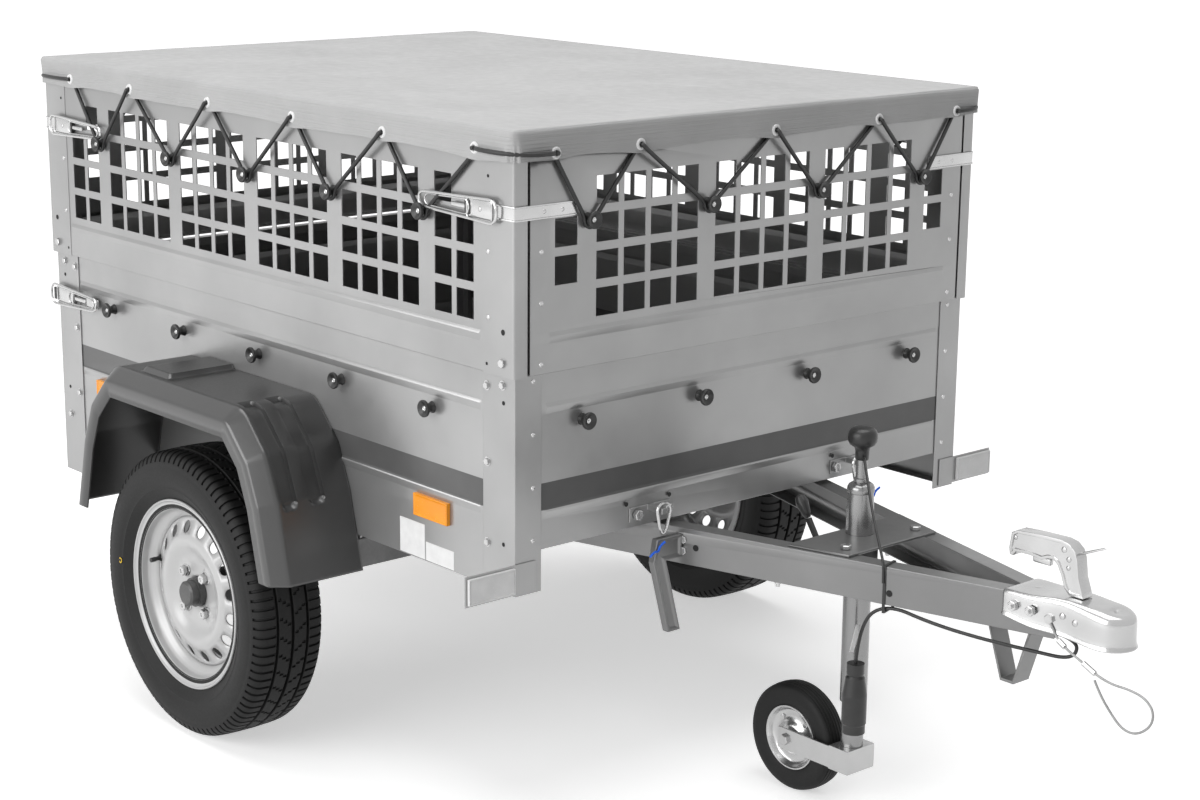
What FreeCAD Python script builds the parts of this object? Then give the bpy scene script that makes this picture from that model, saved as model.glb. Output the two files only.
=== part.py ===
import FreeCAD, Part
import math
import os

import Sketcher

# Box trailer with mesh sides, a laced cover, a tipping bed on a V drawbar and a jockey wheel.
# Millimetres. X points forward to the coupling, Y to the left, Z up from the ground.

DIMENSIONS = [
    ("bed_length", 1530, "outside length of the box"),
    ("bed_width", 1107, "outside width of the box"),
    ("board_tall", 303.3, "height of the front board"),
    ("end_rise", 2.7, "from the underside of the floor up to the front board and the tailgate"),
    ("side_drop", 66.6, "how far the side boards reach below the floor"),
    ("sheet", 2, "thickness of the folded steel sheet"),
    ("board_return", 22, "inward fold along the top of each board"),
    ("board_lip", 18, "turned-down lip of that fold"),
    ("groove_depth", 8, "depth of the pressed grooves"),
    ("groove_half", 9, "half height of the pressed grooves"),
    ("groove_drop", 61.6, "from the top of a board down to its upper groove"),
    ("groove_rise", 62.2, "from the bottom of the end boards up to the lower groove"),
    ("floor_thick", 6, "thickness of the floor panel"),
    ("front_rest", 5.3, "height of the front member that rests on the rails"),
    ("seat_gap", 0.3, "gap left between seated pieces"),
    ("side_flange", 85, "width of a corner post along the side"),
    ("end_flange", 57, "width of a corner post along the end"),
    ("post_sheet", 2.5, "thickness of a corner post"),
    ("front_post_drop", 68.6, "how far the front posts reach below the floor"),
    ("rear_post_drop", 167.6, "how far the rear posts reach below the floor"),
    ("upper_tall", 402.1, "height of the mesh panels"),
    ("upper_proud", 7, "how far the mesh panels stand outside the boards"),
    ("mesh_groove_rise", 59.1, "from the foot of a mesh panel up to its groove"),
    ("row_pitch", 62.5, "distance from one row of holes to the next"),
    ("hole_tall", 48, "height of a hole"),
    ("row_rise", 82.6, "from the foot of a mesh panel up to the lowest row"),
    ("side_knob_share", 0.175817, "distance between side knobs over the length of the box"),
    ("side_wide_bar", 44.6, "width of a wide bar in the side panels"),
    ("side_bar", 12.8, "width of a narrow bar in the side panels"),
    ("end_knob_share", 0.244806, "distance between end knobs over the width of the box"),
    ("end_wide_bar", 40.5, "width of a wide bar in the end panels"),
    ("end_bar", 11.5, "width of a narrow bar in the end panels"),
    ("hem_tall", 45.3, "how far the hem of the cover hangs below the top of the panels"),
    ("cover_wall", 3, "thickness of the cover"),
    ("cover_gap", 3, "space between the cover and the panels"),
    ("knob_radius", 15, "radius of a lacing knob"),
    ("knob_neck", 7.5, "radius of its neck"),
    ("knob_reach", 22, "how far a knob stands out"),
    ("low_knob_drop", 91.6, "from the top of the boards down to the lower knobs"),
    ("high_knob_drop", 153, "from the top of the mesh panels down to the upper knobs"),
    ("axle_back", 801.6, "from the front board back to the wheel centres"),
    ("tyre_radius", 276.5, "outer radius of the tyre"),
    ("tyre_width", 155, "width of the tyre"),
    ("wheel_gap", 15.7, "space between the box and the tyre"),
    ("side_low", 0.335, "where the side wall becomes straight, as a share of its height"),
    ("side_high", 0.6755, "where the side wall turns to the shoulder, as a share of its height"),
    ("tread_width", 128, "width of the tread"),
    ("rim_flange", 182.5, "radius of the rim flange"),
    ("flange_tall", 16.5, "height of the rim flange over the bead seat"),
    ("well_drop", 20, "depth of the rim well below the bead seat"),
    ("rim_half", 63.5, "half width over the rim flanges"),
    ("rim_wall", 4, "thickness of the rim"),
    ("vent_radius", 11.5, "radius of a vent hole"),
    ("vent_inset", 12, "from the outer edge of the vent ring in to the vent centres"),
    ("vent_count", 16, "number of vent holes"),
    ("bolt_circle", 49, "radius of the circle of wheel bolts"),
    ("bore_radius", 29, "radius of the hub bore in the wheel disc"),
    ("beam_ahead", 136, "from the wheel centre forward to the axle beam"),
    ("beam_rise", 64, "from the wheel centre up to the axle beam"),
    ("beam_size", 60, "side of the square axle beam"),
    ("arm_thick", 16, "thickness of a trailing arm"),
    ("pivot_rise", 130.5, "from the axle beam up to the tipping pivot"),
    ("pivot_drop", 36, "from the tipping pivot up to the top of the rails"),
    ("pivot_radius", 8, "radius of the tipping pivot bolt"),
    ("rail_tall", 66, "height of the drawbar rails"),
    ("rail_wide", 34, "width of the drawbar rails"),
    ("rail_sheet", 3, "thickness of the drawbar rails"),
    ("rail_angle", 15.7, "angle of a rail to the centre line"),
    ("rail_short", 97, "from the ball centre back to the rail ends"),
    ("rail_nose_half", 17, "from the centre line out to a rail at its front end"),
    ("plate_ahead", 262, "from the front board forward to the jockey wheel axis"),
    ("plate_front", 78, "how far the cross plate reaches ahead of the jockey tube's middle"),
    ("plate_rear", 34, "how far it reaches behind the middle of that tube"),
    ("plate_thick", 5, "thickness of the cross plate"),
    ("ball_ahead", 797, "from the front board forward to the ball centre"),
    ("ball_radius", 25, "radius of the towing ball"),
    ("ball_play", 0.4, "clearance round the towing ball"),
    ("ball_drop", 36.5, "from the top of the coupling down to the ball centre"),
    ("coupling_rest", 0.5, "space between the rails and the coupling above them"),
    ("coupling_room", 1.1, "space between the rails and the coupling beside them"),
    ("coupling_back", 182, "from the ball centre back to the rear of the coupling"),
    ("coupling_waist", 9, "how much narrower the coupling is behind the ball"),
    ("coupling_deep_rear", 43.5, "depth of the coupling at its rear end"),
    ("coupling_deep", 51.5, "depth of the coupling further forward"),
    ("coupling_arch", 8, "how far the coupling rises over its rear end"),
    ("coupling_middle", 88, "from the rear of the coupling to its highest section"),
    ("coupling_front", 10, "from the front section of the coupling to the ball centre"),
    ("dome_wall", 14.6, "from the ball to the outside of the dome"),
    ("dome_shoulder", 12, "from the ball centre up to the shoulder of the dome"),
    ("dome_slope", 14, "width and height of the slope above that shoulder"),
    ("crown_drop", 3, "how far the ball socket falls off from its crown"),
    ("lip_reach", 8, "how far the lip stands out round the dome"),
    ("lip_drop", 20, "from the ball centre down to the bottom of the lip"),
    ("coupling_wall", 4, "thickness of the coupling shell"),
    ("leg_radius", 20, "outer radius of the inner jockey tube"),
    ("slide_gap", 0.5, "clearance between the jockey tubes"),
    ("tube_wall", 3.5, "wall of the outer jockey tube"),
    ("tube_room", 5, "from the jockey wheel up to the outer tube"),
    ("jockey_rise", 96, "from the rails up to the top of the jockey housing"),
    ("housing_ease", 12, "height of the shoulder at the top of the housing"),
    ("spindle_long", 40, "length of the jockey spindle above the housing"),
    ("crank_radius", 26, "radius of the crank knob"),
    ("crank_tall", 36, "height of the crank knob"),
    ("crank_neck", 14, "radius of the neck under the crank knob"),
    ("crank_rise", 79, "from the top of the housing up to the middle of the crank knob"),
    ("crank_ease", 4, "rounding of the crank knob"),
    ("leg_wall", 3, "wall of the inner jockey tube"),
    ("leg_short", 60, "how far the inner tube ends below the housing"),
    ("leg_foot", 12, "thickness of the closed foot of the inner tube"),
    ("trail", 130, "from the swivel axis back to the jockey wheel centre"),
    ("jockey_wheel_radius", 100, "radius of the jockey wheel"),
    ("jockey_wheel_width", 50, "width of the jockey wheel"),
    ("tread_ease", 12, "height of the rounded shoulder of the jockey tyre"),
    ("tread_draw", 10, "width of that shoulder"),
    ("rim_dish", 7, "how deep the jockey rim is dished"),
    ("rim_inset", 1, "how far the jockey rim lies inside its tyre"),
    ("rim_hub", 20, "radius of the hub of the jockey rim"),
    ("guard_wall", 3.5, "thickness of a mudguard"),
    ("guard_cover", 14.3, "how far a mudguard reaches outside the tyre"),
    ("guard_knob_gap", 29.5, "space between a mudguard and the knobs above it"),
    ("guard_chamfer", 30, "width of the chamfer along a mudguard"),
    ("gate_gap", 5, "space round the tailgate"),
    ("board_gap", 1.5, "space at the ends of the front board"),
    ("gate_swing", 36, "from the rear of the box to the floor"),
    ("pin_play", 0.4, "clearance round a pin"),
    ("member_wide", 30, "width of a floor cross member"),
    ("member_tall", 40, "height of the rear cross members"),
    ("member_first", 530, "from the rear of the box forward to the first rear member"),
    ("member_second", 150, "from the rear of the box forward to the second rear member"),
    ("upper_post", 45, "flange of the posts inside the mesh corners"),
    ("upper_step", 4, "how far the side panels stop short of the corner"),
    ("mesh_fold", 22, "inward folds of the mesh panels"),
    ("end_mesh_inset", 26, "how far the end panels stop short of the side boards"),
    ("punch_depth", 12, "depth of the punch through a mesh panel"),
    ("guard_top_half", 222, "half length of the flat top of a mudguard"),
    ("guard_bend_out", 71, "from the end of the flat top out to the upper bend"),
    ("guard_bend_drop", 72, "from the flat top down to the upper bend"),
    ("guard_knee_out", 35, "from the upper bend out to the lower bend"),
    ("guard_knee_drop", 83, "from the upper bend down to the lower bend"),
    ("guard_foot_out", 36, "from the lower bend out to the foot"),
    ("guard_foot_drop", 145, "from the lower bend down to the foot"),
    ("guard_ease", 0.9, "share of a guard offset that goes downwards"),
    ("guard_inset", 22, "how far the chamfer draws in"),
    ("guard_skirt", 55, "how far the opening lies inside the outline"),
    ("wheel_offset", 30, "from the tyre centre out to the bolting face"),
    ("vent_start", 40, "where the vent punch starts outside the bolting face"),
    ("vent_depth", 90, "depth of the vent punch"),
    ("stub_radius", 17, "radius of the stub axle"),
    ("bolt_radius", 11, "corner radius of a wheel bolt head"),
    ("bolt_tall", 10, "height of a wheel bolt head"),
    ("hub_radius", 62, "radius of the hub flange"),
    ("disc_dish", 15, "how far the ring of the wheel disc stands out"),
    ("disc_thick", 5, "thickness of the wheel disc"),
    ("dish_inner", 70, "inner radius of the dish"),
    ("dish_wide", 16, "width of the sloping part of the dish"),
    ("ring_room", 8, "from the vent ring out to the rim well"),
    ("cap_reach", 30, "how far the hub cap stands out from the bolting face"),
    ("cap_radius", 24, "radius of the hub cap"),
    ("cap_ease", 4, "rounding of the hub cap"),
    ("spigot_play", 1, "clearance of the hub in the wheel disc"),
    ("hub_thick", 12, "thickness of the hub flange"),
    ("hub_long", 62, "length of the hub behind the bolting face"),
    ("hub_wall", 18.6, "wall of the hub barrel"),
    ("stub_reach", 8, "how far the stub axle reaches past the bolting face"),
    ("amber_front", 226.7, "from the front board back to the front side reflectors"),
    ("amber_rear", 200, "from the rear of the box forward to the rear side reflectors"),
    ("amber_long", 96, "length of a side reflector"),
    ("amber_tall", 40, "height of a side reflector"),
    ("amber_thick", 8, "thickness of a side reflector"),
    ("amber_rise", 34, "from the underside of the floor up to the middle of the side reflectors"),
    ("white_gap", 5, "from the side of the box out to a front reflector"),
    ("white_long", 97.5, "length of a front reflector"),
    ("white_rise", 8, "from the bottom of a front post up to a front reflector"),
    ("white_margin", 4, "margin of the plate round a front reflector"),
    ("white_hold", 43, "how far that plate reaches across the post"),
    ("white_tall", 45, "height of a front reflector"),
    ("white_thick", 6, "thickness of a front reflector"),
    ("lamp_beam_drop", 15.3, "from the tailgate down to the lamp beam"),
    ("lamp_beam_tall", 140, "height of the lamp beam"),
    ("lamp_beam_fold", 26, "width of the folds of the lamp beam"),
    ("lamp_margin", 5, "from the edge of the beam to a lamp"),
    ("lamp_deep", 28, "depth of a rear lamp"),
    ("lamp_wide", 190, "width of a rear lamp"),
    ("lamp_inset", 25, "from the end of the beam to a lamp"),
    ("cable_diameter", 6, "diameter of the cable"),
    ("wire_diameter", 3, "diameter of the breakaway wire"),
    ("ferrule_radius", 4.5, "radius of a ferrule on the wire"),
    ("plug_radius", 21, "largest radius of the plug"),
    ("plug_length", 123, "length of the plug"),
    ("tie_room", 7, "space in the cable tie besides the cable"),
    ("tie_thick", 1.6, "thickness of the cable tie"),
    ("tie_wide", 5, "width of the cable tie"),
    ("clamp_out", 43.4, "from the rail out to the middle of a toggle clamp"),
    ("clamp_half", 7, "half thickness of a toggle clamp"),
    ("clamp_wide", 16, "from its middle out to the edge of a toggle clamp"),
    ("clamp_top", 10, "from the top of the rails down to a toggle clamp"),
    ("clamp_tall", 42, "height of the body of a toggle clamp"),
    ("lever_long", 133, "length of the lever of a toggle clamp"),
    ("lever_wide", 30, "width of that lever"),
    ("lever_lean", 36, "how far that lever leans inwards"),
    ("hook_half", 48, "half width of a hook plate"),
    ("hook_tall", 26, "height of a hook plate"),
    ("hook_rise", 9.7, "from the bottom of the front board up to a hook plate"),
    ("hook_nose", 10.7, "height of the nose of a hook"),
    ("hook_wide", 6, "half width of the nose of a hook"),
    ("ring_half", 16, "half width of a hook ring"),
    ("ring_drop", 4, "from the top of the rails down to the foot of a ring"),
    ("ring_bar", 7, "width of the bar of a ring"),
    ("ring_thick", 6, "thickness of a ring"),
    ("ring_ahead", 30, "from the front board forward to the hook rings"),
    ("strap_thick", 2.5, "thickness of a latch strap"),
    ("strap_tall", 24, "height of a latch strap"),
    ("strap_clear", 11, "space between a latch strap and the knob beside it"),
    ("latch_room", 49, "space between a latch and the knob beside it"),
    ("latch_drop", 132, "from the top of the mesh panels down to the latches"),
    ("bail_start", 0.1765, "where a latch bail starts, as a share of the latch"),
    ("lever_start", 0.4706, "where a latch lever starts, as a share of the latch"),
    ("lever_stop", 0.9412, "where a latch lever stops, as a share of the latch"),
    ("lever_thick", 9, "thickness of a latch lever"),
    ("lever_half", 16, "half height of a latch lever"),
    ("bail_half", 24, "half height of a latch bail"),
    ("bail_thick", 5.7, "thickness of a latch bail"),
    ("bail_bar", 5, "width of the bar of a latch bail"),
    ("gate_latch_drop", 88.6, "from the top of the boards down to the tailgate latches"),
    ("gate_latch_step", 14.5, "from a corner post to the bend of a tailgate latch"),
    ("gate_latch_share", 0.3809, "share of the space beside a knob that a tailgate latch is fixed on"),
    ("gate_latch_long", 100, "reach of a tailgate latch along the side"),
    ("latch_clear", 5.5, "space between a tailgate latch and the corner post"),
    ("knob_head", 9, "thickness of a knob head"),
    ("arm_half", 34, "half height of a trailing arm"),
    ("bracket_thick", 6, "thickness of an axle bracket"),
    ("bracket_space", 12, "space between a rail and its axle bracket"),
    ("rail_tail", 28, "length of rail trimmed away behind the pivot"),
    ("eye_radius", 28, "radius of the eye at the rear end of a rail"),
    ("pivot_past", 10, "how far the pivot bolt reaches past a rail"),
    ("plate_inset", 8, "how far the cross plate stops short of the rail faces"),
    ("coupling_bevel", 5, "bevel along the top of the coupling"),
    ("lip_tall", 8, "height of that lip"),
    ("handle_half", 13, "half width of the coupling handle"),
    ("handle_foot", 107, "from the rear of the coupling to the foot of its handle"),
    ("handle_foot_long", 28, "length of that foot"),
    ("handle_rise", 94.5, "from the coupling up to the top of its handle"),
    ("handle_back", 17, "how far the handle reaches behind the coupling"),
    ("handle_deep", 38, "height of the grip of the handle"),
    ("handle_ease", 18, "size of the bends of the handle"),
    ("spindle_radius", 8, "radius of the jockey spindle"),
    ("fork_tall", 44, "height of the jockey fork"),
    ("fork_half", 23, "half length of the block under the jockey leg"),
    ("swivel_radius", 8, "radius of the swivel pin of the fork"),
    ("bolt_reach", 6, "how far the jockey wheel bolt stands out of the fork"),
    ("fork_past", 18, "how far the fork straps reach behind the wheel bolt"),
    ("fork_margin", 2, "how much lower the straps are than the block, above and below"),
    ("fork_thick", 4, "thickness of a fork strap"),
    ("jockey_bolt", 6, "radius of the jockey wheel bolt"),
    ("jockey_rim_radius", 60, "outer radius of the jockey wheel rim"),
    ("fork_space", 5.5, "space between the jockey wheel and a fork strap"),
    ("hinge_radius", 6, "radius of the tailgate hinge pins"),
    ("bracket_foot", 45, "half width of an axle bracket at its waist"),
    ("bracket_top", 60, "half width of an axle bracket at the floor"),
    ("bracket_share", 0.352, "height of that waist as a share of the bracket"),
    ("nose_back", 43, "from the rail ends back to the strap under them"),
    ("nose_top", 91, "length of the strap under the rails at its top"),
    ("nose_lean", 30, "how far its front part leans back"),
    ("nose_foot", 28, "length of that strap at its foot"),
    ("nose_deep", 97, "depth of that strap"),
    ("nose_half", 20, "half width of that strap"),
    ("nose_sheet", 5, "thickness of that strap"),
    ("jockey_clamp_drop", 52, "from the top of the rails down to the jockey clamp"),
    ("jockey_clamp_tall", 34, "height of the jockey clamp"),
    ("jockey_clamp_wall", 9, "wall of the jockey clamp"),
    ("lug_back", 60, "how far the lug of the jockey clamp reaches back"),
    ("lug_half", 12, "half width of that lug"),
    ("stem_half", 4, "half thickness of the clamp lever"),
    ("stem_back", 126, "how far the clamp lever reaches back"),
    ("stem_bend", 96, "how far behind the jockey tube that lever bends"),
    ("stem_rise", 36, "how far the clamp lever bends up"),
    ("grip_radius", 12, "radius of the clamp grip"),
    ("grip_long", 46, "length of the clamp grip"),
    ("grip_lean", 33, "lean of the clamp grip"),
]

doc = FreeCAD.newDocument("Trailer")
table = doc.addObject("Spreadsheet::Sheet", "Sizes")
for row, (alias, number, meaning) in enumerate(DIMENSIONS, start=1):
    table.set(f"A{row}", meaning)
    table.set(f"B{row}", str(number))
    table.setAlias(f"B{row}", alias)
doc.recompute()


# Routes of the loose cords: (ahead of the ball centre, left of the centre line, above the rails).
CABLE_ROUTE = [(-142, -23.4, -55), (-62, -1, -55), (-62, -3, -96), (-135, -27, -93), (-213, -58, -87),
               (-299, -78, -80), (-386, -91, -66), (-425, -112, -102), (-429, -114, -177)]
TIED_POINT = 6
WIRE_ROUTE = [(-91, -38.7, -27), (-75, -41.5, -51), (-46, -45, -65), (-17, -46, -76), (12, -48, -88),
              (43, -50, -94), (76, -50, -93), (106, -50, -98), (124, -50, -116), (120, -50, -141),
              (94, -50, -162), (67, -50, -160), (45, -51, -140), (25, -54, -114), (13, -53, -95)]
ARC_SHARE = 0.45

# Turned sections as shares of (radius, length).
PLUG_SECTION = [(0, 0), (0, 1), (0.93, 1), (0.93, 0.88), (1, 0.86), (1, 0.45), (0.78, 0.2), (0.66, 0.17),
                (0.72, 0.14), (0.72, 0)]
GRIP_SECTION = [(0, 0.02), (0.42, 0.02), (0.67, 0.17), (1, 0.65), (0.75, 0.91), (0, 1)]


class Size:
    """A length with the spreadsheet expression that it is bound to."""

    def __init__(self, value, text):
        self.value = value
        self.text = text

    def __add__(self, other):
        other = lift(other)
        return Size(self.value + other.value, f"({self.text} + {other.text})")

    def __radd__(self, other):
        return lift(other) + self

    def __sub__(self, other):
        other = lift(other)
        return Size(self.value - other.value, f"({self.text} - {other.text})")

    def __rsub__(self, other):
        return lift(other) - self

    def __mul__(self, factor):
        factor = lift(factor)
        return Size(self.value * factor.value, f"({self.text} * {factor.text})")

    def __rmul__(self, factor):
        return self * factor

    def __truediv__(self, divisor):
        divisor = lift(divisor)
        return Size(self.value / divisor.value, f"({self.text} / {divisor.text})")

    def __neg__(self):
        return Size(-self.value, f"(0 - {self.text})")


def lift(number):
    """Give a plain number the form of a Size."""
    if isinstance(number, Size):
        return number
    return Size(float(number), f"{float(number):.6f}")


def cosine(angle):
    return Size(math.cos(math.radians(angle.value)), f"cos({angle.text} * 1 deg)")


def sine(angle):
    return Size(math.sin(math.radians(angle.value)), f"sin({angle.text} * 1 deg)")


def tangent(angle):
    return Size(math.tan(math.radians(angle.value)), f"tan({angle.text} * 1 deg)")


class Sizes:
    """Every spreadsheet value by its alias."""

    def __init__(self):
        for alias, number, meaning in DIMENSIONS:
            setattr(self, alias, Size(float(number), f"Sizes.{alias}"))


size = Sizes()

# Places that several pieces share
dome_radius = size.ball_radius + size.ball_play + size.dome_wall
nose_reach = size.ball_ahead + dome_radius + size.lip_reach
rail_nose = size.ball_ahead - size.rail_short
coupling_rear = size.ball_ahead - size.coupling_back
rear_reach = size.upper_proud + size.knob_reach
front_x = (size.bed_length + rear_reach - nose_reach) / 2
rear_x = front_x - size.bed_length
middle_x = front_x - size.bed_length / 2
half_width = size.bed_width / 2
axle_x = front_x - size.axle_back
jockey_x = front_x + size.plate_ahead
wheel_y = half_width + size.wheel_gap + size.tyre_width / 2
guard_outer = wheel_y + size.tyre_width / 2 + size.guard_cover
wheel_height = size.tyre_radius
beam_x = axle_x + size.beam_ahead
beam_z = wheel_height + size.beam_rise
pivot_z = beam_z + size.pivot_rise
rail_top = pivot_z + size.pivot_drop
rail_bottom = rail_top - size.rail_tall
floor_bottom = rail_top + size.seat_gap + size.front_rest
end_bottom = floor_bottom + size.end_rise
board_top = end_bottom + size.board_tall
side_bottom = floor_bottom - size.side_drop
front_post_bottom = floor_bottom - size.front_post_drop
rear_post_bottom = floor_bottom - size.rear_post_drop
groove_high = board_top - size.groove_drop
groove_low = end_bottom + size.groove_rise
upper_bottom = board_top + size.seat_gap
upper_top = upper_bottom + size.upper_tall
mesh_groove = upper_bottom + size.mesh_groove_rise
row_bottom = upper_bottom + size.row_rise
cover_low = upper_top + size.seat_gap - size.hem_tall
low_knob_z = board_top - size.low_knob_drop
high_knob_z = upper_top - size.high_knob_drop
latch_z = upper_top - size.latch_drop
gate_latch_z = board_top - size.gate_latch_drop
side_pitch = size.bed_length * size.side_knob_share
side_hole = (side_pitch - size.side_wide_bar - 3 * size.side_bar) / 4
end_pitch = size.bed_width * size.end_knob_share
end_hole = (end_pitch - size.end_wide_bar - 3 * size.end_bar) / 4
bead_radius = size.rim_flange - size.flange_tall
well_radius = bead_radius - size.well_drop
ring_outer = well_radius - size.ring_room
dish_outer = size.dish_inner + size.dish_wide
vent_circle = ring_outer - size.vent_inset
hinge_x = rear_x + size.post_sheet + size.board_return / 2
hinge_z = end_bottom + size.board_return / 2
rail_slope = tangent(size.rail_angle)
rail_back_y = size.rail_nose_half + (rail_nose + front_x - beam_x) * rail_slope
bracket_y = rail_back_y + size.bracket_space
coupling_half = size.rail_nose_half + (rail_nose - coupling_rear) * rail_slope
coupling_half = coupling_half + size.coupling_room + size.coupling_wall
coupling_top = rail_top + size.coupling_rest + size.coupling_wall
ball_z = coupling_top - size.ball_drop
lip_bottom = ball_z - size.lip_drop
jockey_radius = size.leg_radius + size.slide_gap + size.tube_wall
jockey_top = rail_top + size.jockey_rise
jockey_bottom = 2 * size.jockey_wheel_radius + size.tube_room
fork_bottom = size.jockey_wheel_radius - size.fork_tall / 2
fork_out = size.jockey_wheel_width / 2 + size.fork_space + size.fork_thick
nodes = []


def bind(target, prop, amount):
    """Tie a property of a document object to the spreadsheet."""
    target.setExpression(prop, lift(amount).text)


def place(target, x=0, y=0, z=0, axis=None, angle=0):
    """Put an object at bound coordinates, turned about an axis."""
    if axis is not None:
        turn = lift(angle)
        target.Placement.Rotation = FreeCAD.Rotation(FreeCAD.Vector(*axis), turn.value)
        if isinstance(angle, Size):
            bind(target, "Placement.Rotation.Angle", turn)
    for name, amount in (("x", x), ("y", y), ("z", z)):
        bind(target, f"Placement.Base.{name}", amount)
    return target


def node(target, label):
    """Name a finished piece as a node of the part."""
    target.Label = label
    nodes.append(target)
    return target


def box(name, corner, extent):
    made = doc.addObject("Part::Box", name)
    for prop, amount in zip(("Length", "Width", "Height"), extent):
        bind(made, prop, amount)
    return place(made, *corner)


TURNS = {"x": ((0, 1, 0), 90), "-x": ((0, 1, 0), -90), "y": ((1, 0, 0), -90), "-y": ((1, 0, 0), 90),
         "z": (None, 0)}


def cylinder(name, centre, radius, length, axis="z"):
    """A cylinder that starts at a point and runs along an axis."""
    made = doc.addObject("Part::Cylinder", name)
    bind(made, "Radius", radius)
    bind(made, "Height", length)
    return place(made, *centre, *TURNS[axis])


def prism(name, centre, radius, length, axis, sides):
    """A regular prism that starts at a point and runs along an axis."""
    made = doc.addObject("Part::Prism", name)
    made.Polygon = sides
    bind(made, "Circumradius", radius)
    bind(made, "Height", length)
    return place(made, *centre, *TURNS[axis])


def cone(name, centre, radius, far_radius, length, axis="z"):
    """A cone that starts at a point and runs along an axis."""
    made = doc.addObject("Part::Cone", name)
    bind(made, "Radius1", radius)
    bind(made, "Radius2", far_radius)
    bind(made, "Height", length)
    return place(made, *centre, *TURNS[axis])


def fuse(name, pieces):
    made = doc.addObject("Part::MultiFuse", name)
    made.Shapes = pieces
    made.Refine = True
    return made


def cut(name, base, tools):
    """A base with one or more tools taken out of it."""
    tool = tools[0]
    if len(tools) > 1:
        tool = doc.addObject("Part::MultiFuse", name + "_tools")
        tool.Shapes = tools
    made = doc.addObject("Part::Cut", name)
    made.Base = base
    made.Tool = tool
    return made


def group(name, pieces):
    """Like pieces that don't touch, kept in one node."""
    made = doc.addObject("Part::Compound", name)
    made.Links = pieces
    return made


def mirrored(name, source):
    """The same piece on the other side of the centre line."""
    made = doc.addObject("Part::Mirroring", name)
    made.Source = source
    made.Normal = FreeCAD.Vector(0, 1, 0)
    return made


def pair(name, right):
    """A right-hand piece and its mirror image in one node."""
    return node(group(name + "_pair", [right, mirrored(name + "_copy", right)]), name)


def body(name):
    return doc.addObject("PartDesign::Body", name)


def plane(owner, role):
    return [feature for feature in owner.Origin.OriginFeatures if feature.Role == role][0]


def sketch(owner, name, role, offset=0):
    """An empty sketch on one of the body's own planes."""
    drawing = owner.newObject("Sketcher::SketchObject", name)
    drawing.AttachmentSupport = [(plane(owner, role), "")]
    drawing.MapMode = "FlatFace"
    bind(drawing, "AttachmentOffset.Base.z", offset)
    return drawing


def outline(drawing, points):
    """A closed run of lines through bound points."""
    first = drawing.GeometryCount
    count = len(points)
    corners = [FreeCAD.Vector(lift(across).value, lift(up).value, 0) for across, up in points]
    for index in range(count):
        following = corners[(index + 1) % count]
        drawing.addGeometry(Part.LineSegment(corners[index], following), False)
    for index in range(count):
        following = first + (index + 1) % count
        drawing.addConstraint(Sketcher.Constraint("Coincident", first + index, 2, following, 1))
    for index, (across, up) in enumerate(points):
        for kind, amount in (("DistanceX", lift(across)), ("DistanceY", lift(up))):
            rule = Sketcher.Constraint(kind, -1, 1, first + index, 1, amount.value)
            number = drawing.addConstraint(rule)
            drawing.setExpression(f"Constraints[{number}]", amount.text)


def circle(drawing, across, up, radius):
    """A full circle at a bound centre."""
    across, up, radius = lift(across), lift(up), lift(radius)
    centre = FreeCAD.Vector(across.value, up.value, 0)
    shape = Part.Circle(centre, FreeCAD.Vector(0, 0, 1), radius.value)
    number = drawing.addGeometry(shape, False)
    rules = [("DistanceX", (-1, 1, number, 3), across), ("DistanceY", (-1, 1, number, 3), up),
             ("Radius", (number,), radius)]
    for kind, picks, amount in rules:
        rule = drawing.addConstraint(Sketcher.Constraint(kind, *picks, amount.value))
        drawing.setExpression(f"Constraints[{rule}]", amount.text)


def rectangle(drawing, left, bottom, wide, tall):
    right, top = left + wide, bottom + tall
    outline(drawing, [(left, bottom), (right, bottom), (right, top), (left, top)])


def pad(owner, drawing, length, backwards=False):
    made = owner.newObject("PartDesign::Pad", drawing.Name + "_pad")
    made.Profile = drawing
    made.Reversed = backwards
    bind(made, "Length", length)
    return made


def pocket(owner, drawing, length, backwards=False, both=False):
    made = owner.newObject("PartDesign::Pocket", drawing.Name + "_pocket")
    made.Profile = drawing
    made.Reversed = backwards
    made.Midplane = both
    bind(made, "Length", length)
    return made


def turned(owner, drawing, line="H_Axis"):
    """A full revolution about an axis of the sketch."""
    made = owner.newObject("PartDesign::Revolution", drawing.Name + "_turned")
    made.Profile = drawing
    made.ReferenceAxis = (drawing, [line])
    made.Angle = 360
    return made


def board_section(edge, bottom, inward, drop=0):
    """Section of a folded board: (distance, height) points, outer face first."""
    top = board_top - drop
    deep = size.groove_depth * inward
    thin = size.sheet * inward
    fold = size.board_return * inward
    outer = [(edge + fold, bottom), (edge, bottom)]
    for height in (groove_low, groove_high):
        outer += [(edge, height - size.groove_half), (edge + deep, height),
                  (edge, height + size.groove_half)]
    outer += [(edge, top), (edge + fold, top),
              (edge + fold, top - size.board_lip)]
    inner = [(edge + fold - thin, top - size.board_lip),
             (edge + fold - thin, top - size.sheet),
             (edge + thin, top - size.sheet)]
    for height in (groove_high, groove_low):
        inner += [(edge + thin, height + size.groove_half), (edge + deep + thin, height),
                  (edge + thin, height - size.groove_half)]
    inner += [(edge + thin, bottom + size.sheet), (edge + fold, bottom + size.sheet)]
    return outer + inner


def side_boards():
    """Folded side boards between the corner posts."""
    right = body("side_board_right_body")
    section = sketch(right, "side_section", "YZ_Plane", rear_x + size.post_sheet)
    outline(section, board_section(-half_width + size.post_sheet, side_bottom, 1))
    pad(right, section, size.bed_length - 2 * size.post_sheet)
    pair("side_boards", right)


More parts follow.
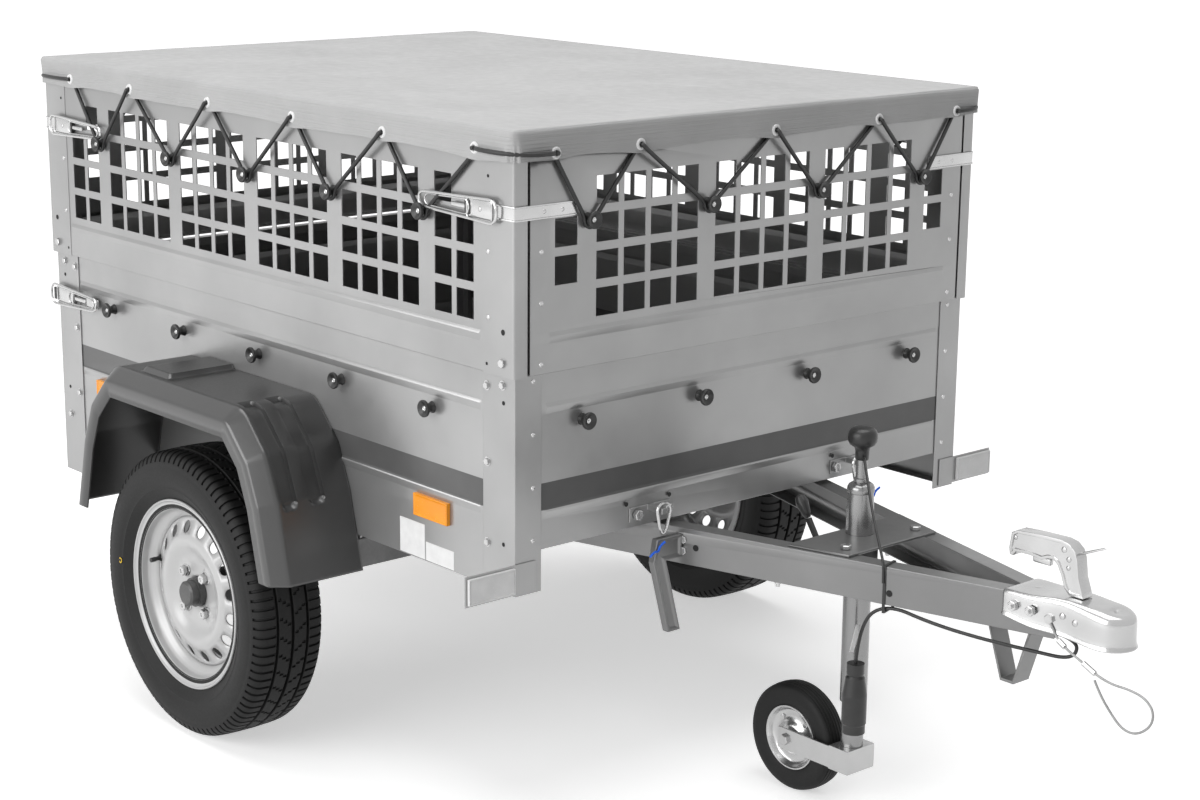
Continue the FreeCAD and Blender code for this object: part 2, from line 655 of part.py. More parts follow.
def front_board():
    """Front board, fixed between the side boards."""
    reach = half_width - size.post_sheet - size.board_return - size.board_gap
    front = body("front_board_body")
    section = sketch(front, "front_section", "XZ_Plane", -reach)
    outline(section, board_section(front_x - size.post_sheet, end_bottom, -1))
    pad(front, section, 2 * reach)
    node(front, "front_board")


def tailgate():
    """Rear board of the same section, closed at its ends and hung on two pins."""
    reach = half_width - size.post_sheet - size.board_return - size.gate_gap
    skin = body("tailgate_skin")
    section = sketch(skin, "gate_section", "XZ_Plane", -reach)
    outline(section, board_section(rear_x + size.post_sheet, end_bottom, 1, size.gate_gap))
    pad(skin, section, 2 * reach)
    tall = board_top - size.gate_gap - end_bottom - 2 * size.sheet
    inside = rear_x + size.post_sheet + size.sheet
    deep = size.board_return - 2 * size.sheet
    caps = []
    for side, start in (("right", -reach), ("left", reach - size.sheet)):
        caps.append(box(f"gate_cap_{side}", (inside, start, end_bottom + size.sheet),
                        (deep, size.sheet, tall)))
    bore = cylinder("gate_bore", (hinge_x, -half_width, hinge_z),
                    size.hinge_radius + size.pin_play, size.bed_width, "y")
    grooves = fuse("gate_shell", [skin] + caps)
    node(cut("tailgate_cut", grooves, [bore]), "tailgate")
    inner = half_width - size.post_sheet - size.sheet
    long = inner - reach + size.gate_gap
    pins = [cylinder("gate_pin_right", (hinge_x, -inner, hinge_z), size.hinge_radius, long, "y"),
            cylinder("gate_pin_left", (hinge_x, inner - long, hinge_z), size.hinge_radius, long, "y")]
    node(group("gate_pins", pins), "gate_hinge_pins")


def floor():
    """Flat floor panel on three cross members."""
    reach = half_width - size.post_sheet - size.sheet - size.seat_gap
    start = rear_x + size.gate_swing
    stop = front_x - size.post_sheet - size.board_return - size.board_gap
    panel = box("floor_panel", (start, -reach, floor_bottom), (stop - start, 2 * reach, size.floor_thick))
    node(panel, "floor")
    rest = floor_bottom - rail_top - size.seat_gap
    members = [box("front_member", (stop - size.member_wide, -reach, floor_bottom - rest),
                   (size.member_wide, 2 * reach, rest))]
    for index, ahead in enumerate((size.member_first, size.member_second)):
        made = body(f"rear_member_{index}")
        section = sketch(made, f"member_section_{index}", "XZ_Plane", -reach)
        left = rear_x + ahead
        low = floor_bottom - size.member_tall
        right = left + size.member_wide
        outline(section, [(left, low), (right, low), (right, low + size.rail_sheet),
                          (left + size.rail_sheet, low + size.rail_sheet),
                          (left + size.rail_sheet, floor_bottom - size.rail_sheet),
                          (right, floor_bottom - size.rail_sheet), (right, floor_bottom),
                          (left, floor_bottom)])
        pad(made, section, 2 * reach)
        members.append(made)
    node(group("cross_members_group", members), "floor_cross_members")


def corner_post(name, corner_x, inward, bottom, end_flange):
    """Angle section round a right-hand corner of the boards."""
    made = body(name)
    section = sketch(made, name + "_section", "XY_Plane", bottom)
    edge = -half_width
    sheet = size.post_sheet
    outline(section, [(corner_x, edge), (corner_x, edge + end_flange),
                      (corner_x + sheet * inward, edge + end_flange),
                      (corner_x + sheet * inward, edge + sheet),
                      (corner_x + size.side_flange * inward, edge + sheet),
                      (corner_x + size.side_flange * inward, edge)])
    pad(made, section, board_top - bottom)
    return made


def corner_posts():
    """Four outer corner posts."""
    rear_flange = size.post_sheet + size.board_return - size.board_gap
    lower = []
    for name, corner_x, inward, bottom, flange in (
            ("corner_post_front", front_x, -1, front_post_bottom, size.end_flange),
            ("corner_post_rear", rear_x, 1, rear_post_bottom, rear_flange)):
        made = corner_post(name, corner_x, inward, bottom, flange)
        lower.append(made)
        lower.append(mirrored(name + "_copy", made))
    node(group("corner_posts_group", lower), "corner_posts")


def upper_posts():
    """Four inner posts in the corners of the mesh panels."""
    upper = []
    behind = size.sheet + size.groove_depth + size.seat_gap - size.upper_proud
    edge = behind - half_width
    for name, corner_x, inward in (("upper_post_front", front_x - behind, -1),
                                   ("upper_post_rear", rear_x + behind, 1)):
        made = body(name)
        section = sketch(made, name + "_section", "XY_Plane", upper_bottom + size.sheet)
        near = size.upper_post * inward
        wall = size.post_sheet * inward
        outline(section, [(corner_x, edge), (corner_x, edge + size.upper_post),
                          (corner_x + wall, edge + size.upper_post),
                          (corner_x + wall, edge + size.post_sheet),
                          (corner_x + near, edge + size.post_sheet), (corner_x + near, edge)])
        pad(made, section, upper_top - upper_bottom - 2 * size.sheet)
        upper.append(made)
        upper.append(mirrored(name + "_copy", made))
    node(group("upper_posts_group", upper), "upper_posts")


def mesh_section(edge, inward):
    """Section of a mesh panel: folded foot and head, and a groove under the mesh."""
    deep = size.groove_depth * inward
    thin = size.sheet * inward
    fold = size.mesh_fold * inward
    low, high = upper_bottom, upper_top
    groove = mesh_groove
    return [(edge + fold, low), (edge, low), (edge, groove - size.groove_half), (edge + deep, groove),
            (edge, groove + size.groove_half), (edge, high), (edge + fold, high),
            (edge + fold, high - size.sheet), (edge + thin, high - size.sheet),
            (edge + thin, groove + size.groove_half), (edge + deep + thin, groove),
            (edge + thin, groove - size.groove_half), (edge + thin, low + size.sheet),
            (edge + fold, low + size.sheet)]


def row_heights(first, last):
    return [row_bottom + row * size.row_pitch for row in range(first, last)]


def punch(made, name, role, offset, lefts, wide, rows, along, step, copies):
    """Punch a block of holes and repeat it along the panel."""
    drawing = sketch(made, name, role, offset)
    for left in lefts:
        for low in rows:
            rectangle(drawing, left, low, wide, size.hole_tall)
    first = pocket(made, drawing, size.punch_depth, both=True)
    if copies < 2:
        return first
    repeat = made.newObject("PartDesign::LinearPattern", name + "_repeat")
    repeat.Originals = [first]
    repeat.Direction = (drawing, [along])
    repeat.Occurrences = copies
    repeat.Mode = "Spacing"
    bind(repeat, "Offset", step)
    made.Tip = repeat
    return repeat


def side_mesh():
    """Side panels: four groups of four columns, and two columns at each end."""
    right = body("mesh_side_right_body")
    start = rear_x - size.upper_proud + size.upper_step
    long = size.bed_length + 2 * (size.upper_proud - size.upper_step)
    edge = -half_width - size.upper_proud
    section = sketch(right, "side_mesh_section", "YZ_Plane", start)
    outline(section, mesh_section(edge, 1))
    pad(right, section, long)
    pitch = side_hole + size.side_bar
    wide_bar = size.side_wide_bar
    first_bar = middle_x - 2 * side_pitch
    lefts = [first_bar + wide_bar / 2 + column * pitch for column in range(4)]
    punch(right, "side_groups", "XZ_Plane", -edge, lefts, side_hole, row_heights(0, 4),
          "H_Axis", side_pitch, 4)
    last_bar = middle_x + 2 * side_pitch
    near = [first_bar - wide_bar / 2 - side_hole, last_bar + wide_bar / 2]
    punch(right, "side_near_ends", "XZ_Plane", -edge, near, side_hole, row_heights(0, 4),
          "H_Axis", pitch, 1)
    far = [near[0] - pitch, near[1] + pitch]
    punch(right, "side_far_ends", "XZ_Plane", -edge, far, side_hole, row_heights(0, 3),
          "H_Axis", pitch, 1)
    node(right, "mesh_panel_right")
    node(mirrored("mesh_left_copy", right), "mesh_panel_left")


def end_mesh():
    """Front and rear panels: three groups of four columns, and one short column at each end."""
    reach = half_width - size.end_mesh_inset
    pitch = end_hole + size.end_bar
    wide_bar = size.end_wide_bar
    first_bar = -1.5 * end_pitch
    lefts = [first_bar + wide_bar / 2 + column * pitch for column in range(4)]
    ends = [first_bar - wide_bar / 2 - end_hole, -first_bar + wide_bar / 2]
    for name, edge, inward in (("mesh_panel_front", front_x + size.upper_proud, -1),
                               ("mesh_panel_rear", rear_x - size.upper_proud, 1)):
        made = body(name + "_body")
        section = sketch(made, name + "_section", "XZ_Plane", -reach)
        outline(section, mesh_section(edge, inward))
        pad(made, section, 2 * reach)
        punch(made, name + "_groups", "YZ_Plane", edge, lefts, end_hole, row_heights(0, 4),
              "H_Axis", end_pitch, 3)
        punch(made, name + "_ends", "YZ_Plane", edge, ends, end_hole, row_heights(1, 3),
              "H_Axis", pitch, 1)
        node(made, name)


def cover():
    """Closed shell of the cover: a flat top and a hem all round."""
    space = size.upper_proud + size.cover_gap
    low = cover_low
    high = upper_top + size.seat_gap
    inner = box("cover_space", (rear_x - space, -half_width - space, low - 1),
                (size.bed_length + 2 * space, size.bed_width + 2 * space, high - low + 1))
    wall = space + size.cover_wall
    outer = box("cover_block", (rear_x - wall, -half_width - wall, low),
                (size.bed_length + 2 * wall, size.bed_width + 2 * wall, high + size.cover_wall - low))
    node(cut("cover_shell", outer, [inner]), "cover")


def knob(name, point, axis):
    """Lacing knob: a neck and a wide head standing out from a panel."""
    step = {"-y": (0, -1), "y": (0, 1), "x": (1, 0), "-x": (-1, 0)}[axis]
    neck_long = size.knob_reach - size.knob_head
    neck = prism(name + "_neck", point, size.knob_neck, neck_long, axis, 6)
    centre = (point[0] + neck_long * step[0], point[1] + neck_long * step[1], point[2])
    head = prism(name + "_head", centre, size.knob_radius, size.knob_head, axis, 8)
    return fuse(name, [neck, head])


def knob_row(level, height, out_side, out_end):
    made = []
    for index in range(5):
        along = middle_x + (index - 2) * side_pitch
        made.append(knob(f"{level}_right_{index}", (along, -half_width + out_side, height), "-y"))
        made.append(knob(f"{level}_left_{index}", (along, half_width - out_side, height), "y"))
    for index in range(4):
        across = (index - 1.5) * end_pitch
        made.append(knob(f"{level}_front_{index}", (front_x - out_end, across, height), "x"))
        made.append(knob(f"{level}_rear_{index}", (rear_x + out_end, across, height), "-x"))
    return made


def knobs():
    """Lacing knobs on the boards and on the mesh panels."""
    low = knob_row("low_knob", low_knob_z, size.post_sheet, size.post_sheet)
    gate = [made for made in low if "_rear_" in made.Name]
    node(group("low_knobs_fixed", [made for made in low if made not in gate]), "board_knobs")
    node(group("low_knobs_gate", gate), "tailgate_knobs")
    high = knob_row("high_knob", high_knob_z, -size.upper_proud, -size.upper_proud)
    node(group("high_knobs", high), "mesh_knobs")


def mudguard():
    """Moulded polygonal guard with a chamfered outer edge and an open inner side."""
    top = low_knob_z - size.knob_radius - size.guard_knob_gap
    steps = [(size.guard_top_half, lift(0)), (size.guard_bend_out, size.guard_bend_drop),
             (size.guard_knee_out, size.guard_knee_drop), (size.guard_foot_out, size.guard_foot_drop)]

    def arch(shrink, raised):
        right = []
        across, height = lift(0), top
        for out, down in steps:
            across = across + out
            height = height - down
            right.append((across - shrink, height - shrink * size.guard_ease))
        right[-1] = (across - shrink, height - raised)
        points = [(axle_x + across, height) for across, height in right]
        points += [(axle_x - across, height) for across, height in right[::-1]]
        return points

    def block(name, shrink, raised, start, bend, stop):
        made = body(name)
        straight = sketch(made, name + "_straight", "XZ_Plane", start)
        outline(straight, arch(shrink, raised))
        pad(made, straight, bend - start)
        near = sketch(made, name + "_near", "XZ_Plane", bend)
        outline(near, arch(shrink, raised))
        far = sketch(made, name + "_far", "XZ_Plane", stop)
        outline(far, arch(shrink + size.guard_inset, raised))
        loft = made.newObject("PartDesign::AdditiveLoft", name + "_chamfer")
        loft.Profile = near
        loft.Sections = [far]
        loft.Ruled = True
        return made

    start = half_width - size.post_sheet + size.seat_gap
    bend = guard_outer - size.guard_chamfer
    wall = size.guard_wall
    shell = block("guard_outside", lift(0), lift(0), start, bend, guard_outer)
    room = block("guard_inside", wall, wall, start - wall, bend - wall / 2, guard_outer - wall)
    opening = body("guard_opening")
    drawing = sketch(opening, "guard_opening_outline", "XZ_Plane", bend)
    outline(drawing, arch(size.guard_skirt, wall))
    pad(opening, drawing, size.guard_chamfer + wall)
    right = cut("guard_right", shell, [room, opening])
    node(right, "mudguard_right")
    node(mirrored("guard_left", right), "mudguard_left")


def bolt_place(turn):
    angle = 45 + 90 * turn
    return size.bolt_circle * cosine(lift(angle)), size.bolt_circle * sine(lift(angle))


def tyre_section():
    """Tyre section as (across, radius) points."""
    half = size.tyre_width / 2
    tread = size.tread_width / 2
    bead = size.rim_half - size.rim_wall
    tall = size.tyre_radius - size.rim_flange
    right = [(bead, bead_radius), (bead, size.rim_flange + size.seat_gap),
             (half, size.rim_flange + size.side_low * tall),
             (half, size.rim_flange + size.side_high * tall), (tread, size.tyre_radius)]
    return right + [(-across, radius) for across, radius in right[::-1]]


def rim_section():
    """Rim with a flange at each side of the bead seat."""
    half = size.rim_half
    wall = size.rim_wall
    bead = bead_radius - size.seat_gap
    side = half - wall + size.seat_gap
    return [(-half, well_radius), (-half, size.rim_flange), (-side, size.rim_flange), (-side, bead),
            (side, bead), (side, size.rim_flange), (half, size.rim_flange), (half, well_radius)]


def disc_section():
    """Dished wheel disc from the hub bore out to the rim."""
    face = -size.wheel_offset
    ring = face - size.disc_dish
    far = well_radius + size.rim_wall / 2
    thick = size.disc_thick
    return [(face, size.bore_radius), (face, size.dish_inner), (ring, dish_outer), (ring, ring_outer),
            (face, far), (face + thick, far), (ring + thick, ring_outer), (ring + thick, dish_outer),
            (face + thick, size.dish_inner), (face + thick, size.bore_radius)]


def wheel():
    """Road wheel: tyre, rim and disc, and the hub that carries them."""
    tyre = body("tyre_right_body")
    drawing = sketch(tyre, "tyre_section", "YZ_Plane", 0)
    outline(drawing, tyre_section())
    turned(tyre, drawing)
    place(tyre, axle_x, -wheel_y, wheel_height)
    node(tyre, "tyre_right")
    node(mirrored("tyre_left_copy", tyre), "tyre_left")
    barrel = body("rim_barrel")
    drawing = sketch(barrel, "rim_barrel_section", "YZ_Plane", 0)
    outline(drawing, rim_section())
    turned(barrel, drawing)
    disc = body("rim_disc")
    drawing = sketch(disc, "disc_section", "YZ_Plane", 0)
    outline(drawing, disc_section())
    spun = turned(disc, drawing)
    holes = sketch(disc, "vent_hole", "XZ_Plane", size.wheel_offset + size.vent_start)
    corners = []
    for turn in range(8):
        angle = lift(22.5 + 45 * turn)
        corners.append((size.vent_radius * cosine(angle), vent_circle + size.vent_radius * sine(angle)))
    outline(holes, corners)
    vent = pocket(disc, holes, size.vent_depth, backwards=False)
    repeat = disc.newObject("PartDesign::PolarPattern", "vent_repeat")
    repeat.Originals = [vent]
    repeat.Axis = (plane(disc, "Y_Axis"), [""])
    repeat.Angle = 360
    bind(repeat, "Occurrences", size.vent_count)
    disc.Tip = repeat
    for made in (barrel, disc):
        place(made, axle_x, -wheel_y, wheel_height)
    right = fuse("rim_right_fused", [barrel, disc])
    node(right, "rim_right")
    node(mirrored("rim_left_copy", right), "rim_left")


def hub():
    """Hub with four bolts and a grease cap, turning on the stub axle."""
    made = body("hub_right_body")
    face = -size.wheel_offset
    drawing = sketch(made, "hub_section", "YZ_Plane", 0)
    bore = size.stub_radius + size.pin_play
    spigot = size.bore_radius - size.spigot_play
    flange = face + size.disc_thick + size.seat_gap
    cap = face - size.cap_reach
    back = face + size.hub_long
    barrel = bore + size.hub_wall
    outline(drawing, [(flange, size.hub_radius), (flange, spigot), (face - size.hub_thick, spigot),
                      (face - size.hub_thick, size.cap_radius), (cap + size.cap_ease, size.cap_radius),
                      (cap, size.cap_radius - size.cap_ease), (cap, 0), (face - size.stub_reach, 0),
                      (face - size.stub_reach, bore), (back, bore), (back, barrel),
                      (flange + size.hub_thick, barrel), (flange + size.hub_thick, size.hub_radius)])
    turned(made, drawing)
    place(made, axle_x, -wheel_y, wheel_height)
    node(made, "hub_right")
    node(mirrored("hub_left_copy", made), "hub_left")
    bolts = []
    for turn in range(4):
        across, up = bolt_place(turn)
        spot = (axle_x + across, -wheel_y + face - size.bolt_tall, wheel_height + up)
        bolts.append(prism(f"bolt_head_{turn}", spot, size.bolt_radius, size.bolt_tall, "y", 6))
    right = group("wheel_bolts_group", bolts)
    node(right, "wheel_bolts_right")
    node(mirrored("wheel_bolts_copy", right), "wheel_bolts_left")


def axle():
    """Square axle beam on two brackets, with a trailing arm and stub on each side."""
    arm_outer = half_width - size.seat_gap
    arm_inner = arm_outer - size.arm_thick
    half = size.beam_size / 2
    beam = box("axle_beam_box", (beam_x - half, -arm_inner, beam_z - half),
               (size.beam_size, 2 * arm_inner, size.beam_size))
    node(beam, "axle_beam")
    arm = body("arm_right_body")
    drawing = sketch(arm, "arm_outline", "XZ_Plane", arm_inner)
    full = size.arm_half
    part = full / 2
    outline(drawing, [(axle_x - full, wheel_height - part), (axle_x - part, wheel_height - full),
                      (axle_x + part, wheel_height - full), (beam_x + full, beam_z - part),
                      (beam_x + full, beam_z + part), (beam_x + part, beam_z + full),
                      (beam_x - part, beam_z + full), (axle_x - full, wheel_height + part)])
    pad(arm, drawing, size.arm_thick)
    stub_end = wheel_y + size.wheel_offset + size.stub_reach - size.pin_play
    stub = cylinder("stub_right", (axle_x, -stub_end, wheel_height), size.stub_radius,
                    stub_end - arm_outer + size.arm_thick / 2, "y")
    pair("trailing_arms", fuse("arm_right_fused", [arm, stub]))
    made = body("beam_bracket")
    drawing = sketch(made, "bracket_outline", "XZ_Plane", bracket_y)
    low = beam_z + half
    waist = low + (floor_bottom - low) * size.bracket_share
    outline(drawing, [(beam_x - half, low), (beam_x + half, low), (beam_x + size.bracket_foot, waist),
                      (beam_x + size.bracket_top, floor_bottom), (beam_x - size.bracket_top, floor_bottom),
                      (beam_x - size.bracket_foot, waist)])
    pad(made, drawing, size.bracket_thick)
    bolt_end = bracket_y + size.bracket_thick
    bolt = cylinder("pivot_bolt", (beam_x, -bolt_end, pivot_z), size.pivot_radius,
                    bolt_end - rail_back_y + size.rail_wide + size.pivot_past, "y")
    pair("axle_brackets", fuse("bracket_right_fused", [made, bolt]))


def rail_at(ahead):
    """Distance from the centre line to the outer face of a rail, ahead of the front board."""
    return size.rail_nose_half + (rail_nose - ahead) * tangent(size.rail_angle)


def drawbar():
    """Two folded rails that meet at the coupling, and the plate between them."""
    long = (rail_nose + front_x - beam_x) / cosine(size.rail_angle) + size.rail_tail
    made = body("rail_right_body")
    section = sketch(made, "rail_section", "YZ_Plane", -long)
    wide, tall, thin = size.rail_wide, size.rail_tall, size.rail_sheet
    outline(section, [(0, 0), (wide, 0), (wide, thin), (thin, thin), (thin, tall - thin),
                      (wide, tall - thin), (wide, tall), (0, tall)])
    pad(made, section, long)
    place(made, front_x + rail_nose, -size.rail_nose_half, rail_bottom, (0, 0, 1), size.rail_angle)
    over = size.rail_wide
    behind = box("rail_behind", (beam_x - 3 * over, -half_width, rail_bottom - thin),
                 (3 * over, size.bed_width, tall + 2 * thin))
    eye = cylinder("rail_eye", (beam_x, -rail_back_y, pivot_z), size.eye_radius, size.rail_wide, "y")
    trim = box("rail_trim", (front_x, -size.seat_gap, rail_bottom - thin),
               (rail_nose + 3 * over, 2 * over, tall + 2 * thin))
    bore = cylinder("rail_bore", (beam_x, -half_width, pivot_z), size.pivot_radius + size.pin_play,
                    half_width - size.rail_nose_half, "y")
    ended = cut("rail_right_ended", made, [trim, behind])
    right = cut("rail_right_cut", fuse("rail_right_eyed", [ended, eye]), [bore])
    node(right, "drawbar_rail_right")
    node(mirrored("rail_left_copy", right), "drawbar_rail_left")
    plate = body("cross_plate_body")
    drawing = sketch(plate, "cross_plate_outline", "XY_Plane", rail_top)
    rear = size.plate_ahead - size.plate_rear
    front = size.plate_ahead + size.plate_front
    rear_out = rail_at(rear) - size.plate_inset
    front_out = rail_at(front) - size.plate_inset
    outline(drawing, [(front_x + rear, -rear_out), (front_x + front, -front_out),
                      (front_x + front, front_out), (front_x + rear, rear_out)])
    circle(drawing, jockey_x, 0, jockey_radius + size.slide_gap)
    pad(plate, drawing, size.plate_thick)
    node(plate, "cross_plate")


def coupling_roof(ahead):
    """Height of the coupling over the rails between its middle and front sections."""
    start = coupling_rear + size.coupling_middle
    stop = size.ball_ahead - size.coupling_front
    return coupling_top + size.coupling_arch - size.crown_drop * (ahead - start) / (stop - start)


def coupling():
    """Pressed ball coupling with its lifting handle."""
    made = body("coupling_shell")
    waist = coupling_half - size.coupling_waist
    middle = coupling_rear + size.coupling_middle
    front = size.ball_ahead - size.coupling_front
    low = coupling_top - size.coupling_deep
    stations = [(coupling_rear, coupling_half, coupling_top - size.coupling_deep_rear, coupling_top),
                (middle, waist, low, coupling_roof(middle)), (front, waist, low, coupling_roof(front))]

    def section(name, station, wall, shift):
        ahead, half, bottom, high = station
        drawing = sketch(made, name, "YZ_Plane", front_x + ahead + shift)
        half = half - wall
        high = high - wall
        bevel = size.coupling_bevel - wall
        outline(drawing, [(-half, bottom), (half, bottom), (half, high - bevel), (half - bevel, high),
                          (-half + bevel, high), (-half, high - bevel)])
        return drawing

    for index in range(2):
        loft = made.newObject("PartDesign::AdditiveLoft", f"coupling_loft_{index}")
        loft.Profile = section(f"coupling_a{index}", stations[index], 0, 0)
        loft.Sections = [section(f"coupling_b{index}", stations[index + 1], 0, 0)]
        loft.Ruled = True
    wall = size.coupling_wall
    below = [(ahead, half, bottom - size.lip_drop, high) for ahead, half, bottom, high in stations[:2]]
    hollow = made.newObject("PartDesign::SubtractiveLoft", "coupling_hollow")
    hollow.Profile = section("coupling_hollow_a", below[0], wall, -size.seat_gap)
    hollow.Sections = [section("coupling_hollow_b", below[1], wall, 0)]
    hollow.Ruled = True
    ball_x = front_x + size.ball_ahead
    dome = body("coupling_dome")
    drawing = sketch(dome, "dome_section", "XZ_Plane", 0)
    room = size.ball_radius + size.ball_play
    lip = dome_radius + size.lip_reach
    brim = lip_bottom + size.lip_tall
    crown = ball_z + room
    ease = size.crown_drop
    shoulder = crown + wall + size.dome_shoulder
    outline(drawing, [(room, lip_bottom), (lip, lip_bottom), (lip, brim), (dome_radius, brim),
                      (dome_radius, ball_z + size.dome_shoulder), (dome_radius - size.dome_slope, shoulder),
                      (0, crown + wall + size.dome_slope), (0, crown), (size.ball_radius / 2, crown - ease),
                      (room, ball_z + ease)])
    turned(dome, drawing, "V_Axis")
    place(dome, ball_x)
    mouth = cylinder("ball_mouth", (ball_x, 0, lip_bottom - size.lip_drop), room,
                     ball_z + ease - lip_bottom + size.lip_drop)
    above = cone("ball_crown", (ball_x, 0, ball_z + ease), room, size.ball_radius / 2, room - 2 * ease)
    shell = fuse("coupling_fused", [cut("coupling_open", made, [mouth, above]), dome])
    node(shell, "coupling")


def handle():
    """Lifting handle that stands on the coupling and reaches back over the rails."""
    made = body("handle_body")
    drawing = sketch(made, "handle_outline", "XZ_Plane", -size.handle_half)
    rear = coupling_rear - size.handle_back
    foot = coupling_rear + size.handle_foot
    toe = foot + size.handle_foot_long
    top = coupling_top + size.handle_rise
    low = top - size.handle_deep
    ease = size.handle_ease
    third = ease / 3
    side = [(rear, low - ease / 2), (rear + ease, low - 2 * third), (rear + 2 * ease, low),
            (foot - 2 * ease, low), (foot - ease, low - 2 * third),
            (foot, coupling_roof(foot) + size.seat_gap), (toe, coupling_roof(toe) + size.seat_gap),
            (toe - third, low - ease), (toe - 2 * third, top - ease - third), (foot, top - third),
            (foot - ease, top), (rear + ease, top - ease / 2), (rear, top - ease)]
    outline(drawing, [(front_x + ahead, up) for ahead, up in side])
    pad(made, drawing, 2 * size.handle_half)
    node(made, "coupling_handle")


def jockey():
    """Jockey wheel: clamped tube with crank knob, and the leg that slides in it."""
    tube = body("jockey_tube_body")
    drawing = sketch(tube, "jockey_tube_section", "XZ_Plane", 0)
    inner = size.leg_radius + size.slide_gap
    shoulder = jockey_top - size.housing_ease
    spindle_top = jockey_top + size.spindle_long
    spindle = size.spindle_radius
    outline(drawing, [(inner, jockey_bottom), (jockey_radius, jockey_bottom), (jockey_radius, shoulder),
                      (jockey_radius - spindle, jockey_top), (spindle, jockey_top), (spindle, spindle_top),
                      (0, spindle_top), (0, shoulder), (inner, shoulder)])
    turned(tube, drawing, "V_Axis")
    place(tube, jockey_x)
    node(tube, "jockey_tube")
    grip = body("crank_knob_body")
    drawing = sketch(grip, "crank_knob_section", "XZ_Plane", 0)
    low = jockey_top + size.crank_rise - size.crank_tall / 2
    high = low + size.crank_tall
    ease = size.crank_ease
    outline(drawing, [(0, spindle_top), (size.crank_neck, spindle_top), (size.crank_neck, low),
                      (size.crank_radius, low + ease), (size.crank_radius, high - 2 * ease),
                      (size.crank_radius - 2 * ease, high), (0, high)])
    turned(grip, drawing, "V_Axis")
    place(grip, jockey_x)
    node(grip, "crank_knob")
    leg = body("jockey_leg_body")
    drawing = sketch(leg, "jockey_leg_section", "XZ_Plane", 0)
    seat = fork_bottom + size.fork_tall + size.seat_gap
    pin = fork_bottom - size.bolt_reach
    leg_top = jockey_top - size.leg_short
    hollow = size.leg_radius - size.leg_wall
    outline(drawing, [(0, pin), (size.swivel_radius, pin), (size.swivel_radius, seat),
                      (size.leg_radius, seat), (size.leg_radius, leg_top), (hollow, leg_top),
                      (hollow, seat + size.leg_foot), (0, seat + size.leg_foot)])
    turned(leg, drawing, "V_Axis")
    place(leg, jockey_x)
    node(leg, "jockey_leg")


def jockey_wheel():
    """Swivelling fork with its wheel, which trails behind the leg."""
    block = box("fork_block", (jockey_x - size.fork_half, -fork_out, fork_bottom),
                (2 * size.fork_half, 2 * fork_out, size.fork_tall))
    pieces = [block]
    margin = size.fork_margin
    for name, start in (("right", -fork_out), ("left", fork_out - size.fork_thick)):
        corner = (jockey_x - size.trail - size.fork_past, start, fork_bottom + margin)
        pieces.append(box(f"fork_strap_{name}", corner,
                          (size.trail + size.fork_past, size.fork_thick, size.fork_tall - 2 * margin)))
    centre_x = jockey_x - size.trail
    centre_z = size.jockey_wheel_radius
    bolt_end = fork_out + size.bolt_reach
    pieces.append(cylinder("jockey_bolt", (centre_x, -bolt_end, centre_z), size.jockey_bolt,
                           2 * bolt_end, "y"))
    bore = cylinder("fork_bore", (jockey_x, 0, fork_bottom - margin), size.swivel_radius + size.seat_gap,
                    size.fork_tall + 2 * margin)
    node(cut("fork_cut", fuse("fork_fused", pieces), [bore]), "jockey_fork")
    tyre = body("jockey_tyre_body")
    drawing = sketch(tyre, "jockey_tyre_section", "YZ_Plane", 0)
    half = size.jockey_wheel_width / 2
    top = size.jockey_wheel_radius
    side = top - size.tread_ease
    draw = half - size.tread_draw
    seat = size.jockey_rim_radius
    outline(drawing, [(-half, seat), (-half, side), (-draw, top), (draw, top), (half, side), (half, seat)])
    turned(tyre, drawing)
    place(tyre, centre_x, 0, centre_z)
    node(tyre, "jockey_tyre")
    rim = body("jockey_rim_body")
    drawing = sketch(rim, "jockey_rim_section", "YZ_Plane", 0)
    inner = size.jockey_bolt + size.pin_play
    seat = size.jockey_rim_radius - size.seat_gap
    edge = half - size.rim_inset
    dish = edge - size.rim_dish
    bend = seat - 2 * size.rim_dish
    outline(drawing, [(-edge, inner), (edge, inner), (dish, size.rim_hub), (dish, bend), (edge, seat),
                      (-edge, seat), (-dish, bend), (-dish, size.rim_hub)])
    turned(rim, drawing)
    place(rim, centre_x, 0, centre_z)
    node(rim, "jockey_rim")


